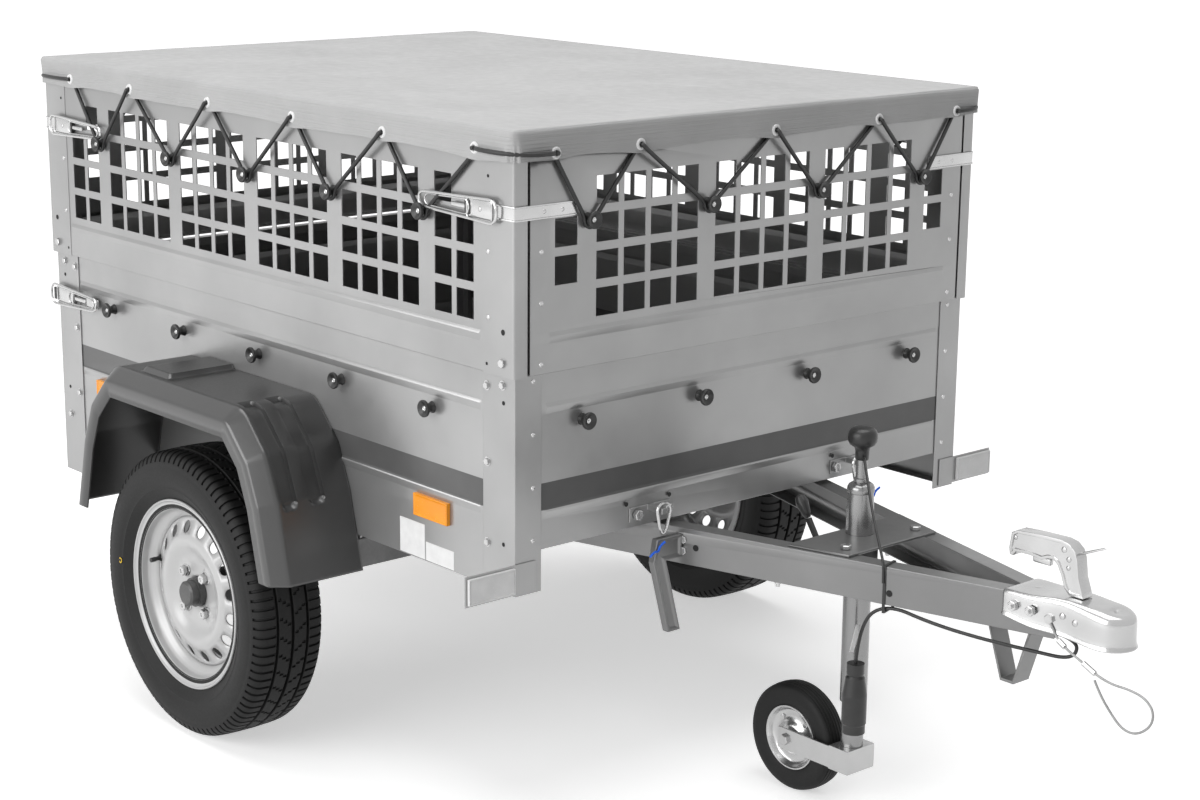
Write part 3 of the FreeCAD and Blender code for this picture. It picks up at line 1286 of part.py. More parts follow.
def lights():
    """Reflectors on the sides and at the front, and the lamp beam at the rear."""
    side = half_width - size.post_sheet
    amber = []
    for where, centre in (("front", front_x - size.amber_front), ("rear", rear_x + size.amber_rear)):
        corner = (centre - size.amber_long / 2, -side - size.amber_thick,
                  floor_bottom + size.amber_rise - size.amber_tall / 2)
        right = box(f"amber_{where}", corner, (size.amber_long, size.amber_thick, size.amber_tall))
        amber += [right, mirrored(f"amber_{where}_copy", right)]
    node(group("amber_group", amber), "side_reflectors")
    white_in = half_width + size.white_gap
    white_out = white_in + size.white_long
    white_low = front_post_bottom + size.white_rise
    margin = size.white_margin
    hold = half_width - size.white_hold
    backing = box("white_plate_right", (front_x + size.seat_gap, -white_out - margin, white_low - margin),
                  (size.post_sheet, white_out + margin - hold, size.white_tall + 2 * margin))
    pair("front_reflector_plates", backing)
    face = front_x + 2 * size.seat_gap + size.post_sheet
    pair("front_reflectors", box("white_right", (face, -white_out, white_low),
                                 (size.white_thick, size.white_long, size.white_tall)))
    beam = body("lamp_beam_body")
    inner = half_width - size.post_sheet - size.board_return - size.seat_gap
    edge = rear_x + size.post_sheet + size.seat_gap
    section = sketch(beam, "lamp_beam_section", "XZ_Plane", -inner)
    high = end_bottom - size.lamp_beam_drop
    low = high - size.lamp_beam_tall
    thin = size.post_sheet
    fold = edge + size.lamp_beam_fold
    outline(section, [(edge, low), (edge, high), (fold, high), (fold, high - thin), (edge + thin, high - thin),
                      (edge + thin, low + thin), (fold, low + thin), (fold, low)])
    pad(beam, section, 2 * inner)
    node(beam, "rear_lamp_beam")
    margin = size.lamp_margin
    pair("rear_lamps", box("lamp_right", (edge - size.seat_gap - size.lamp_deep, -inner + size.lamp_inset,
                                          low + margin),
                           (size.lamp_deep, size.lamp_wide, size.lamp_beam_tall - 2 * margin)))


def route_points(route):
    """Points of a route in the part's frame."""
    start_x = front_x.value + size.ball_ahead.value
    return [FreeCAD.Vector(start_x + ahead, across, rail_top.value + up) for ahead, across, up in route]


def corner_arcs(route):
    """Straight runs of a route joined by tangent arcs."""
    points = route_points(route)
    edges = []
    start = points[0]
    smallest = None
    for before, corner, after in zip(points, points[1:], points[2:]):
        back = before - corner
        on = after - corner
        turn = math.pi - back.getAngle(on)
        short = ARC_SHARE * min(back.Length, on.Length)
        radius = short / math.tan(turn / 2)
        smallest = radius if smallest is None else min(smallest, radius)
        enter = corner + back.normalize() * short
        leave = corner + on.normalize() * short
        middle = (enter + leave) / 2
        centre = corner + (middle - corner).normalize() * (radius / math.cos(turn / 2))
        crest = centre + (corner - centre).normalize() * radius
        edges.append(Part.LineSegment(start, enter).toShape())
        edges.append(Part.Arc(enter, crest, leave).toShape())
        start = leave
    edges.append(Part.LineSegment(start, points[-1]).toShape())
    return Part.Wire(edges), smallest


def cord(name, route, diameter):
    """Round cord swept along a route."""
    line, smallest = corner_arcs(route)
    first = line.Edges[0]
    at = first.valueAt(first.FirstParameter)
    along = first.tangentAt(first.FirstParameter)
    ring = Part.Wire([Part.makeCircle(diameter.value / 2, at, along)])
    made = doc.addObject("Part::Feature", name + "_shape")
    made.Shape = line.makePipeShell([ring], True, False)
    section = math.pi * diameter.value ** 2 / 4
    print(name, "smallest radius", round(smallest, 1), "volume over section times length",
          round(made.Shape.Volume / (section * line.Length), 4))
    return made


def sleeve(name, route, index, share, radius, core):
    """Short sleeve round a cord, on one run of its route."""
    first, last = route_points(route)[index:index + 2]
    along = last - first
    start = first + along * ((1 - share) / 2)
    solid = Part.makeCylinder(radius.value, along.Length * share, start, along)
    made = doc.addObject("Part::Feature", name)
    made.Shape = solid.cut(core.Shape)
    return made


def cords():
    """Loose cable with its plug, and the breakaway wire with its ferrules."""
    node(cord("cable", CABLE_ROUTE, size.cable_diameter), "cable")
    plug = body("plug_body")
    drawing = sketch(plug, "plug_section", "XZ_Plane", 0)
    outline(drawing, [(size.plug_radius * out, -size.plug_length * down) for out, down in PLUG_SECTION])
    turned(plug, drawing, "V_Axis")
    ahead, across, up = CABLE_ROUTE[-1]
    place(plug, front_x + size.ball_ahead + ahead, lift(across), rail_top + up - size.seat_gap)
    node(plug, "plug")
    wire = cord("breakaway_wire", WIRE_ROUTE, size.wire_diameter)
    node(wire, "breakaway_wire")
    ferrules = [sleeve("ferrule_rear", WIRE_ROUTE, 1, 0.5, size.ferrule_radius, wire),
                sleeve("ferrule_front", WIRE_ROUTE, 3, 0.85, size.ferrule_radius, wire)]
    node(group("ferrules_group", ferrules), "wire_ferrules")


def cable_tie():
    """Tie that holds the cable under the right rail."""
    tie = size.tie_thick
    gap = size.seat_gap
    back = (lift(-CABLE_ROUTE[TIED_POINT][0]) - size.rail_short) / cosine(size.rail_angle)
    room = size.cable_diameter + size.tie_room
    wide = size.rail_wide + 2 * gap
    tall = size.rail_tall + room + gap
    ring = body("tie_body")
    drawing = sketch(ring, "tie_section", "YZ_Plane", -back - size.tie_wide / 2)
    rectangle(drawing, -gap - tie, -room - tie, wide + 2 * tie, tall + 2 * tie)
    rectangle(drawing, -gap, -room, wide, tall)
    pad(ring, drawing, size.tie_wide)
    place(ring, front_x + rail_nose, -size.rail_nose_half, rail_bottom, (0, 0, 1), size.rail_angle)
    node(ring, "cable_tie")


def toggle_clamps():
    """Toggle clamps on the rails and the hooks with rings on the front board."""
    near = rail_at(size.ring_ahead - size.clamp_half)
    across = near + size.clamp_out
    near = near + size.seat_gap
    centre = front_x + size.ring_ahead
    top = rail_top - size.clamp_top
    foot = top - size.clamp_tall
    tip = foot - size.lever_long
    wide = size.lever_wide
    inner = -across + wide / 5
    clamp = body("clamp_body")
    drawing = sketch(clamp, "clamp_outline", "YZ_Plane", centre - size.clamp_half)
    outline(drawing, [(-across - size.clamp_wide, top), (-near, top), (-near, foot), (inner, foot),
                      (inner + size.lever_lean, tip), (inner + size.lever_lean - wide, tip),
                      (inner - wide, foot)])
    pad(clamp, drawing, 2 * size.clamp_half)
    pair("toggle_clamps", clamp)
    hook_low = end_bottom + size.hook_rise
    hook_top = hook_low + size.hook_tall
    hook_plate = box("hook_plate", (front_x - size.post_sheet, -across - size.hook_half, hook_low),
                     (size.post_sheet, 2 * size.hook_half, size.hook_tall))
    nose = box("hook_nose", (front_x, -across - size.hook_wide, hook_top - size.hook_nose),
               (size.ring_ahead + size.ring_bar, 2 * size.hook_wide, size.hook_nose))
    pair("bed_hooks", fuse("hook_fused", [hook_plate, nose]))
    bar = size.ring_bar
    low = rail_top - size.ring_drop
    tall = hook_top + size.seat_gap + bar - low
    half = size.ring_half
    ring = body("ring_body")
    drawing = sketch(ring, "ring_outline", "YZ_Plane", centre - size.ring_thick / 2)
    rectangle(drawing, -across - half, low, 2 * half, tall)
    rectangle(drawing, -across - half + bar, low + bar, 2 * (half - bar), tall - 2 * bar)
    pad(ring, drawing, size.ring_thick)
    pair("hook_rings", ring)


def latch(name, corner_x, inward):
    """Latch along a side panel, with a strap that goes round the corner to the end panel."""
    thin = size.strap_thick
    panel = -half_width - size.upper_proud
    side = panel - thin
    long = size.bed_length / 2 + size.upper_proud - 2 * side_pitch - size.knob_radius - size.latch_room
    bar = size.bail_bar
    first = long * size.bail_start

    def along(start, length):
        return corner_x + start if inward > 0 else corner_x - start - length

    made = body(name)
    drawing = sketch(made, name + "_strap", "XY_Plane", latch_z - size.strap_tall / 2)
    outer_x = corner_x - thin * inward
    strap_end = -1.5 * end_pitch - size.knob_radius - size.strap_clear
    side_end = corner_x + (first + 2 * bar) * inward
    outline(drawing, [(side_end, side), (side_end, panel), (corner_x, panel), (corner_x, strap_end),
                      (outer_x, strap_end), (outer_x, side)])
    pad(made, drawing, size.strap_tall)
    lever_long = long * (size.lever_stop - size.lever_start)
    lever = box(name + "_lever", (along(long * size.lever_start, lever_long), panel - size.lever_thick,
                                  latch_z - size.lever_half),
                (lever_long, size.lever_thick, 2 * size.lever_half))
    bail_long = long - first
    thick = size.bail_thick
    half = size.bail_half
    out = side - size.seat_gap - thick
    frame = box(name + "_frame", (along(first, bail_long), out, latch_z - half), (bail_long, thick, 2 * half))
    room = box(name + "_room", (along(first + bar, bail_long - 2 * bar), out - thick, latch_z - half + bar),
               (bail_long - 2 * bar, 3 * thick, 2 * (half - bar)))
    hook_long = bar - size.seat_gap
    tall = size.strap_tall / 2 - size.sheet
    hook = box(name + "_hook", (along(first + bar + size.seat_gap, hook_long), side - thick - thin,
                                latch_z - tall), (hook_long, thick + thin, 2 * tall))
    return group(name + "_latch", [fuse(name + "_strap_hook", [made, hook]), lever,
                                   cut(name + "_bail", frame, [room])])


def latches():
    """Latches at the four corners of the mesh panels."""
    made_all = []
    for where, corner_x, inward in (("front", front_x + size.upper_proud, -1),
                                    ("rear", rear_x - size.upper_proud, 1)):
        made = latch(f"mesh_latch_{where}", corner_x, inward)
        made_all += [made, mirrored(f"mesh_latch_{where}_copy", made)]
    node(group("mesh_latches_group", made_all), "mesh_latches")


def gate_latches():
    """Straps with levers that go round the rear corners and travel with the tailgate."""
    thin = size.strap_thick
    face = rear_x + size.post_sheet
    back = rear_x - size.latch_clear
    side = -half_width - size.latch_clear
    bend = side + size.latch_clear + size.post_sheet + size.board_return - size.board_gap
    bend = bend + size.gate_latch_step
    knob_edge = -1.5 * end_pitch - size.knob_radius
    inner = bend + (knob_edge - bend) * size.gate_latch_share
    long = size.gate_latch_long
    strap_end = rear_x + 0.6 * long
    made = body("gate_latch_strap")
    drawing = sketch(made, "gate_latch_outline", "XY_Plane", gate_latch_z - size.strap_tall / 2)
    outline(drawing, [(face, inner), (face, bend), (back, bend), (back, side), (strap_end, side),
                      (strap_end, side - thin), (back - thin, side - thin), (back - thin, inner)])
    pad(made, drawing, size.strap_tall)
    lever = box("gate_latch_lever", (rear_x + 0.2 * long, side - thin - size.lever_thick,
                                     gate_latch_z - size.lever_half),
                (0.8 * long, size.lever_thick, 2 * size.lever_half))
    right = fuse("gate_latch_fused", [made, lever])
    node(group("gate_latch_group", [right, mirrored("gate_latch_copy", right)]), "tailgate_latches")


def nose_bracket():
    """Bent strap under the front ends of the rails."""
    made = body("nose_bracket_body")
    drawing = sketch(made, "nose_bracket_outline", "XZ_Plane", -size.nose_half)
    top = rail_bottom - size.seat_gap
    low = top - size.nose_deep
    thin = size.nose_sheet
    front = front_x + rail_nose - size.nose_back
    rear = front - size.nose_top
    toe = front - size.nose_lean
    heel = toe - size.nose_foot
    outline(drawing, [(rear, top), (heel, low), (toe, low), (front, top), (front - thin, top),
                      (toe - thin / 2, low + thin), (heel + thin / 2, low + thin), (rear + thin, top)])
    pad(made, drawing, 2 * size.nose_half)
    node(made, "nose_bracket")


def jockey_clamp():
    """Clamp round the jockey tube under the plate, with its lever and grip."""
    low = rail_top - size.jockey_clamp_drop
    tall = size.jockey_clamp_tall
    half = size.stem_half
    ring = cylinder("clamp_ring", (jockey_x, 0, low), jockey_radius + size.jockey_clamp_wall, tall)
    lug = box("clamp_lug", (jockey_x - size.lug_back, -size.lug_half, low + half),
              (size.lug_back - size.leg_radius, 2 * size.lug_half, tall - 2 * half))
    bore = cylinder("clamp_bore", (jockey_x, 0, low - half), jockey_radius + size.seat_gap, tall + 2 * half)
    stem = body("clamp_stem")
    drawing = sketch(stem, "clamp_stem_outline", "XZ_Plane", -half)
    level = low + tall / 2
    start = jockey_x - size.lug_back + half
    bend = jockey_x - size.stem_bend
    end = jockey_x - size.stem_back
    rise = level + size.stem_rise
    outline(drawing, [(start, level + half / 2), (start, level - 1.5 * half),
                      (bend + 2.5 * half, level - 3 * half), (bend, level - 2 * half), (end, rise), (end + 2 * half, rise + half),
                      (bend + half, level), (bend + 3 * half, level - half)])
    pad(stem, drawing, 2 * half)
    node(cut("clamp_cut", fuse("clamp_fused", [ring, lug, stem]), [bore]), "jockey_clamp")
    grip = body("clamp_grip")
    drawing = sketch(grip, "clamp_grip_section", "XZ_Plane", 0)
    outline(drawing, [(size.grip_radius * out, size.grip_long * up) for out, up in GRIP_SECTION])
    turned(grip, drawing, "V_Axis")
    place(grip, end + half, 0, rise + half / 2, (0, 1, 0), -size.grip_lean)
    node(grip, "clamp_grip")


def main():
    floor()
    side_boards()
    front_board()
    tailgate()
    corner_posts()
    upper_posts()
    side_mesh()
    end_mesh()
    cover()
    knobs()
    mudguard()
    wheel()
    hub()
    axle()
    drawbar()
    coupling()
    handle()
    jockey()
    jockey_wheel()
    jockey_clamp()
    nose_bracket()
    toggle_clamps()
    latches()
    gate_latches()
    lights()
    cords()
    cable_tie()


main()
doc.recompute()
for made in doc.Objects:
    if "Invalid" in made.State or "Error" in made.State:
        raise RuntimeError(f"{made.Name} failed: {made.State}")
os.makedirs("parts", exist_ok=True)
for piece in nodes:
    if piece.Shape.isNull() or not piece.Shape.isValid():
        raise RuntimeError(f"{piece.Label} has no valid shape")
    piece.Shape.exportStep(f"parts/{piece.Label}.step")
    print(piece.Label, round(piece.Shape.Volume / 1000), "cm3", len(piece.Shape.Solids))
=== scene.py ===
import math

import bmesh
import bpy
from mathutils import Matrix, Vector


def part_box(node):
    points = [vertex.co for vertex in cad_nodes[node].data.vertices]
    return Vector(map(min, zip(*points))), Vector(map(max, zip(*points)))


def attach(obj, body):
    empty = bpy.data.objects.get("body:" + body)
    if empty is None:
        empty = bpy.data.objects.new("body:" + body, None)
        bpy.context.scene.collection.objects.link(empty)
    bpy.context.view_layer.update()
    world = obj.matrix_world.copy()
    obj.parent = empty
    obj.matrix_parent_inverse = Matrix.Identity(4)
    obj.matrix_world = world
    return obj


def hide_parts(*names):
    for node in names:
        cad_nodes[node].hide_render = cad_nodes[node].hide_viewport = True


# Looks of a box trailer with mesh sides, a laced cover, a tipping bed and a jockey wheel.
# Metres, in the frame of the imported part: X forward, Y left, Z up.

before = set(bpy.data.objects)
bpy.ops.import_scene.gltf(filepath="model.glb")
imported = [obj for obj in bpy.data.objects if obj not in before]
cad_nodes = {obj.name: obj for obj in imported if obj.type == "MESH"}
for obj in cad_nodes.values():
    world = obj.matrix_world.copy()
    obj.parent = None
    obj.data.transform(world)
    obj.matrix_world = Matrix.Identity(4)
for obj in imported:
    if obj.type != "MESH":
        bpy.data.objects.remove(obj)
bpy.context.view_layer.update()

FRONT = 0.357  # outer face of the front board
REAR = -1.173  # outer face of the tailgate
HALF_WIDTH = 0.5535  # outer face of a side post
MIDDLE = (FRONT + REAR) / 2
PROUD = 0.007  # how far the upper panels stand outside the posts
AXLE = -0.4446
WHEEL_SIDE = 0.6467  # middle of a tyre
WHEEL_HEIGHT = 0.2765
JOCKEY = 0.619  # axis of the jockey tube
FULL_TURN = 2 * math.pi
SIDES = (("right", -1), ("left", 1))


def linear(level):
    """Linear light of a screen level from 0 to 255."""
    share = level / 255
    if share <= 0.04045:
        return share / 12.92
    return ((share + 0.055) / 1.055) ** 2.4


def tint(red, green=None, blue=None):
    """A colour from screen levels; one level gives a grey."""
    if green is None:
        green = blue = red
    return (linear(red), linear(green), linear(blue), 1)


# Camera

LENS_LENGTH = 69.95
LENS_PLACE = (3.2296, -2.8822, 1.6807)
LENS_YAW = math.radians(48.82)
LENS_PITCH = math.radians(13.64)
LENS_ROLL = math.radians(0.54)


def add_camera():
    """Camera at the photograph's place, height and direction."""
    lens = bpy.data.cameras.new("camera")
    lens.sensor_width = 36
    lens.lens = LENS_LENGTH
    lens.clip_start = 0.1
    lens.clip_end = 100
    eye = bpy.data.objects.new("camera", lens)
    level = Vector((math.cos(LENS_YAW), math.sin(LENS_YAW), 0))
    ahead = Vector((-math.sin(LENS_YAW), math.cos(LENS_YAW), 0))
    forward = ahead * math.cos(LENS_PITCH) - Vector((0, 0, math.sin(LENS_PITCH)))
    up = level.cross(forward)
    right = level * math.cos(LENS_ROLL) + up * math.sin(LENS_ROLL)
    up = up * math.cos(LENS_ROLL) - level * math.sin(LENS_ROLL)
    turn = Matrix((right, up, -forward)).transposed()
    eye.matrix_world = Matrix.Translation(LENS_PLACE) @ turn.to_4x4()
    bpy.context.scene.collection.objects.link(eye)
    bpy.context.scene.camera = eye


add_camera()


# Materials

FINER_GLOSS = 9
FINER_GRAIN = 30
GRAIN_DEPTH = 0.0004


def new_material(name, colour, metallic, roughness):
    made = bpy.data.materials.new(name)
    made.use_nodes = True
    shader = made.node_tree.nodes["Principled BSDF"]
    shader.inputs["Base Color"].default_value = colour
    shader.inputs["Metallic"].default_value = metallic
    shader.inputs["Roughness"].default_value = roughness
    return made, made.node_tree, shader


def add_node(tree, kind, **inputs):
    """A shader node with its named inputs set, or linked where an output is given."""
    made = tree.nodes.new(kind)
    for name, amount in inputs.items():
        target = made.inputs[name.replace("_", " ")]
        if isinstance(amount, bpy.types.NodeSocket):
            tree.links.new(amount, target)
        else:
            target.default_value = amount
    return made


def object_place(tree, stretch=(1, 1, 1)):
    """Object coordinates, scaled along each axis."""
    spot = tree.nodes.new("ShaderNodeTexCoord")
    scaled = add_node(tree, "ShaderNodeMapping", Vector=spot.outputs["Object"], Scale=stretch)
    return scaled.outputs["Vector"]


def noise_value(tree, scale, detail=3.0, stretch=(1, 1, 1)):
    place = object_place(tree, stretch)
    made = add_node(tree, "ShaderNodeTexNoise", Vector=place, Scale=scale, Detail=detail)
    return made.outputs["Fac"]


def spread(tree, value, low, high, start=0.3, stop=0.7):
    """Map a texture value to a range."""
    made = add_node(tree, "ShaderNodeMapRange", Value=value)
    for name, amount in (("From Min", start), ("From Max", stop), ("To Min", low), ("To Max", high)):
        made.inputs[name].default_value = amount
    return made.outputs["Result"]


def blend_colour(tree, share, first, second):
    made = tree.nodes.new("ShaderNodeMix")
    made.data_type = "RGBA"
    for number, amount in ((0, share), (6, first), (7, second)):
        if isinstance(amount, bpy.types.NodeSocket):
            tree.links.new(amount, made.inputs[number])
        else:
            made.inputs[number].default_value = amount
    return made.outputs[2]


def relief(tree, shader, value, strength, distance):
    bump = add_node(tree, "ShaderNodeBump", Height=value, Strength=strength, Distance=distance)
    tree.links.new(bump.outputs["Normal"], shader.inputs["Normal"])


def worn(name, dark, light, metallic, roughness, scale=30, grain=0.0, uneven=0.08, specular=0.5):
    """A surface whose colour and gloss vary softly, with a fine grain where one is asked for."""
    made, tree, shader = new_material(name, light, metallic, roughness)
    shader.inputs["Specular IOR Level"].default_value = specular
    patches = spread(tree, noise_value(tree, scale, 4.0), 0, 1)
    tree.links.new(blend_colour(tree, patches, dark, light), shader.inputs["Base Color"])
    fine = noise_value(tree, scale * FINER_GLOSS, 2.0)
    tree.links.new(spread(tree, fine, roughness - uneven, roughness + uneven), shader.inputs["Roughness"])
    if grain > 0:
        relief(tree, shader, noise_value(tree, scale * FINER_GRAIN, 2.0), grain, GRAIN_DEPTH)
    return made


def add_waves(made, scale, detail, stretch, strength, distance):
    """Broad unevenness: level creases in hanging cloth, soft dents in sheet."""
    tree = made.node_tree
    relief(tree, tree.nodes["Principled BSDF"], noise_value(tree, scale, detail, stretch), strength, distance)


def zinc_sheet(name):
    """Galvanised sheet with soft dents."""
    made = worn(name, tint(154), tint(168), 0.6, 0.30, 4, uneven=0.025)
    add_waves(made, 3.0, 0.0, (1, 1, 1), 0.3, 0.012)
    return made


def striped(name, low, high, edge=0.0003):
    """Galvanised sheet with a dark painted band between two heights."""
    made = zinc_sheet(name)
    tree = made.node_tree
    shader = tree.nodes["Principled BSDF"]
    sheet_colour = shader.inputs["Base Color"].links[0].from_socket
    spot = tree.nodes.new("ShaderNodeTexCoord")
    height = add_node(tree, "ShaderNodeSeparateXYZ", Vector=spot.outputs["Object"]).outputs["Z"]
    band = add_node(tree, "ShaderNodeMath")
    band.operation = "MULTIPLY"
    tree.links.new(spread(tree, height, 0, 1, low - edge, low + edge), band.inputs[0])
    tree.links.new(spread(tree, height, 1, 0, high - edge, high + edge), band.inputs[1])
    inside = band.outputs[0]
    paint = blend_colour(tree, spread(tree, noise_value(tree, 7), 0, 1), tint(76), tint(90))
    tree.links.new(blend_colour(tree, inside, sheet_colour, paint), shader.inputs["Base Color"])
    tree.links.new(spread(tree, inside, 0.6, 0.0, 0, 1), shader.inputs["Metallic"])
    return made


galvanised = zinc_sheet("galvanised")
striped_board = striped("striped_board", 0.583, 0.630)
rail_zinc = worn("rail_zinc", tint(122), tint(132), 0.6, 0.34, 6, uneven=0.025)
jockey_zinc = worn("jockey_zinc", tint(136), tint(146), 0.8, 0.24, 3, uneven=0.02)
bright_zinc = worn("bright_zinc", tint(180), tint(198), 0.85, 0.20, 8, uneven=0.03)
rim_silver = worn("rim_silver", tint(188), tint(194), 0.15, 0.30, 4, uneven=0.01)
axle_steel = worn("axle_steel", tint(112), tint(134), 0.5, 0.5, 20)
hub_black = worn("hub_black", tint(72), tint(88), 0.3, 0.4, 30)
tyre_rubber = worn("tyre_rubber", tint(12), tint(16), 0.0, 0.6, 30, uneven=0.03, specular=0.3)
guard_plastic = worn("guard_plastic", tint(36), tint(40), 0.0, 0.30, 20, uneven=0.02, specular=1.0)
black_plastic = worn("black_plastic", tint(26), tint(36), 0.0, 0.38, 40)
white_plastic = worn("white_plastic", tint(226), tint(238), 0.0, 0.4, 40)
floor_panel = worn("floor_panel", tint(36), tint(46), 0.0, 0.6, 18, grain=0.1)
cover_cloth = worn("cover_cloth", tint(168), tint(178), 0.0, 0.5, 5)
add_waves(cover_cloth, 5, 3.0, (1, 1, 60), 0.5, 0.004)
amber = worn("amber", tint(246, 150, 12), tint(250, 162, 20), 0.0, 0.2, 30)
white_reflector = worn("white_reflector", tint(222), tint(234), 0.0, 0.2, 30)
lamp_red = worn("lamp_red", tint(150, 18, 14), tint(170, 22, 18), 0.0, 0.2, 30)
cable_black = worn("cable_black", tint(22), tint(30), 0.0, 0.45, 60)
wire_coat = worn("wire_coat", tint(150), tint(172), 0.2, 0.4, 60, grain=0.1)
yellow_mark = worn("yellow_mark", tint(206, 170, 40), tint(216, 180, 50), 0.0, 0.6, 60)
# Painted shade: near-black discs stand in for the shade inside drilled holes.
painted_hole_shade = worn("painted_hole_shade", tint(14), tint(22), 0.0, 0.8, 60)
blue_tie = worn("blue_tie", tint(20, 96, 226), tint(28, 108, 236), 0.0, 0.4, 60)

FINISHES = {
    striped_board: ("side_boards", "front_board"),
    galvanised: ("floor_cross_members", "tailgate", "corner_posts", "upper_posts",
                 "mesh_panel_right", "mesh_panel_left", "mesh_panel_front", "mesh_panel_rear",
                 "front_reflector_plates", "rear_lamp_beam", "axle_brackets", "bed_hooks"),
    rail_zinc: ("drawbar_rail_right", "drawbar_rail_left", "cross_plate", "nose_bracket", "toggle_clamps"),
    bright_zinc: ("coupling", "coupling_handle", "jockey_tube", "jockey_fork", "jockey_rim", "hook_rings",
                  "mesh_latches", "tailgate_latches", "wheel_bolts_right",
                  "wheel_bolts_left", "gate_hinge_pins", "wire_ferrules"),
    jockey_zinc: ("jockey_leg",),
    rim_silver: ("rim_right", "rim_left"),
    tyre_rubber: ("tyre_right", "tyre_left", "jockey_tyre"),
    black_plastic: ("board_knobs", "tailgate_knobs", "mesh_knobs", "crank_knob", "jockey_clamp", "clamp_grip",
                    "plug", "cable_tie"),
    guard_plastic: ("mudguard_right", "mudguard_left"),
    floor_panel: ("floor",),
    cover_cloth: ("cover",),
    amber: ("side_reflectors",),
    white_reflector: ("front_reflectors",),
    lamp_red: ("rear_lamps",),
    axle_steel: ("axle_beam", "trailing_arms"),
    hub_black: ("hub_right", "hub_left"),
    cable_black: ("cable",),
}
for material, names in FINISHES.items():
    for name in names:
        cad_nodes[name].data.materials.clear()
        cad_nodes[name].data.materials.append(material)


# Cords: places ahead of the front board, across and up

CABLE_ROUTE = [(0.655, -0.0234, 0.452), (0.735, -0.001, 0.452), (0.735, -0.003, 0.411), (0.662, -0.027, 0.414),
               (0.584, -0.058, 0.420), (0.498, -0.078, 0.427), (0.411, -0.091, 0.441), (0.372, -0.112, 0.405),
               (0.368, -0.114, 0.330)]
WIRE_ROUTE = [(0.706, -0.0387, 0.480), (0.722, -0.0415, 0.456), (0.751, -0.045, 0.442), (0.780, -0.046, 0.431),
              (0.809, -0.048, 0.419), (0.840, -0.050, 0.413), (0.873, -0.050, 0.414), (0.903, -0.050, 0.409),
              (0.921, -0.050, 0.391), (0.917, -0.050, 0.366), (0.891, -0.050, 0.345), (0.864, -0.050, 0.347),
              (0.842, -0.051, 0.367), (0.822, -0.054, 0.393), (0.810, -0.053, 0.412)]


def smooth_cord(name, points, diameter, material, body):
    """A round cord along one smooth curve."""
    line = bpy.data.curves.new(name, "CURVE")
    line.dimensions = "3D"
    line.bevel_depth = diameter / 2
    line.bevel_resolution = 5
    line.use_fill_caps = True
    line.resolution_u = 12
    run = line.splines.new("NURBS")
    run.points.add(len(points) - 1)
    for spot, place in zip(run.points, points):
        spot.co = (*place, 1)
    run.order_u = 3
    run.use_endpoint_u = True
    line.materials.append(material)
    made = bpy.data.objects.new(name, line)
    bpy.context.scene.collection.objects.link(made)
    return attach(made, body)


def ahead_of_front(route):
    return [(FRONT + ahead, across, up) for ahead, across, up in route]


cable_points = ahead_of_front(CABLE_ROUTE)
cable = smooth_cord("towing_cable", cable_points, 0.006, cable_black, "drawbar")
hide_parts("cable")
wire_points = ahead_of_front(WIRE_ROUTE)
wire = smooth_cord("safety_wire", wire_points, 0.004, wire_coat, "drawbar")
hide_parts("breakaway_wire")


# Building tools

def finish_piece(name, shape, material, body, stands_for=(), crease=35):
    """Turn a finished bmesh into a piece that rides on a body."""
    bmesh.ops.remove_doubles(shape, verts=shape.verts, dist=0.000005)
    bmesh.ops.recalc_face_normals(shape, faces=shape.faces)
    mesh = bpy.data.meshes.new(name)
    shape.to_mesh(mesh)
    shape.free()
    mesh.shade_smooth()
    mesh.set_sharp_from_angle(angle=math.radians(crease))
    mesh.materials.append(material)
    made = bpy.data.objects.new(name, mesh)
    bpy.context.scene.collection.objects.link(made)
    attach(made, body)
    if stands_for:
        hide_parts(*stands_for)
    return made


def thicken(made, amount):
    """Give a single surface its sheet thickness, inwards."""
    solid = made.modifiers.new("thickness", "SOLIDIFY")
    solid.thickness = amount
    solid.offset = -1
    return made


def lathe(shape, centre, axis, section, steps=32, closed=False):
    """Turn a section of (along, radius) points round an axis through a centre."""
    centre, axis = Vector(centre), Vector(axis).normalized()
    out = axis.orthogonal().normalized()
    spots = [shape.verts.new(centre + axis * along + out * radius) for along, radius in section]
    runs = [shape.edges.new(ends) for ends in zip(spots, spots[1:])]
    if closed:
        runs.append(shape.edges.new((spots[-1], spots[0])))
    return bmesh.ops.spin(shape, geom=spots + runs, cent=centre, axis=axis, dvec=(0, 0, 0), angle=FULL_TURN,
                          steps=steps, use_merge=True)


def round_edges(shape, edges, bevel, segments, **limits):
    bmesh.ops.bevel(shape, geom=edges, offset=bevel, segments=segments, profile=0.5, affect="EDGES",
                    material=-1, **limits)


def block(shape, low, high, bevel=0.0, segments=2):
    """A block between two corners with rounded edges."""
    low, high = Vector(low), Vector(high)
    made = bmesh.ops.create_cube(shape, size=1)["verts"]
    bmesh.ops.scale(shape, verts=made, vec=high - low)
    bmesh.ops.translate(shape, verts=made, vec=(low + high) / 2)
    if bevel:
        round_edges(shape, list({edge for spot in made for edge in spot.link_edges}), bevel, segments)


def plate(shape, outline, depth):
    """A flat outline of points given a depth."""
    face = shape.faces.new([shape.verts.new(place) for place in outline])
    grown = bmesh.ops.extrude_face_region(shape, geom=[face])["geom"]
    moved = [spot for spot in grown if isinstance(spot, bmesh.types.BMVert)]
    bmesh.ops.translate(shape, verts=moved, vec=depth)


def press_in(shape, faces, margin, slant, depth):
    """Sink faces inside an even margin, with a slanting rim."""
    bmesh.ops.inset_individual(shape, faces=faces, thickness=margin, depth=0, use_even_offset=True)
    bmesh.ops.inset_individual(shape, faces=faces, thickness=slant, depth=depth, use_even_offset=True)


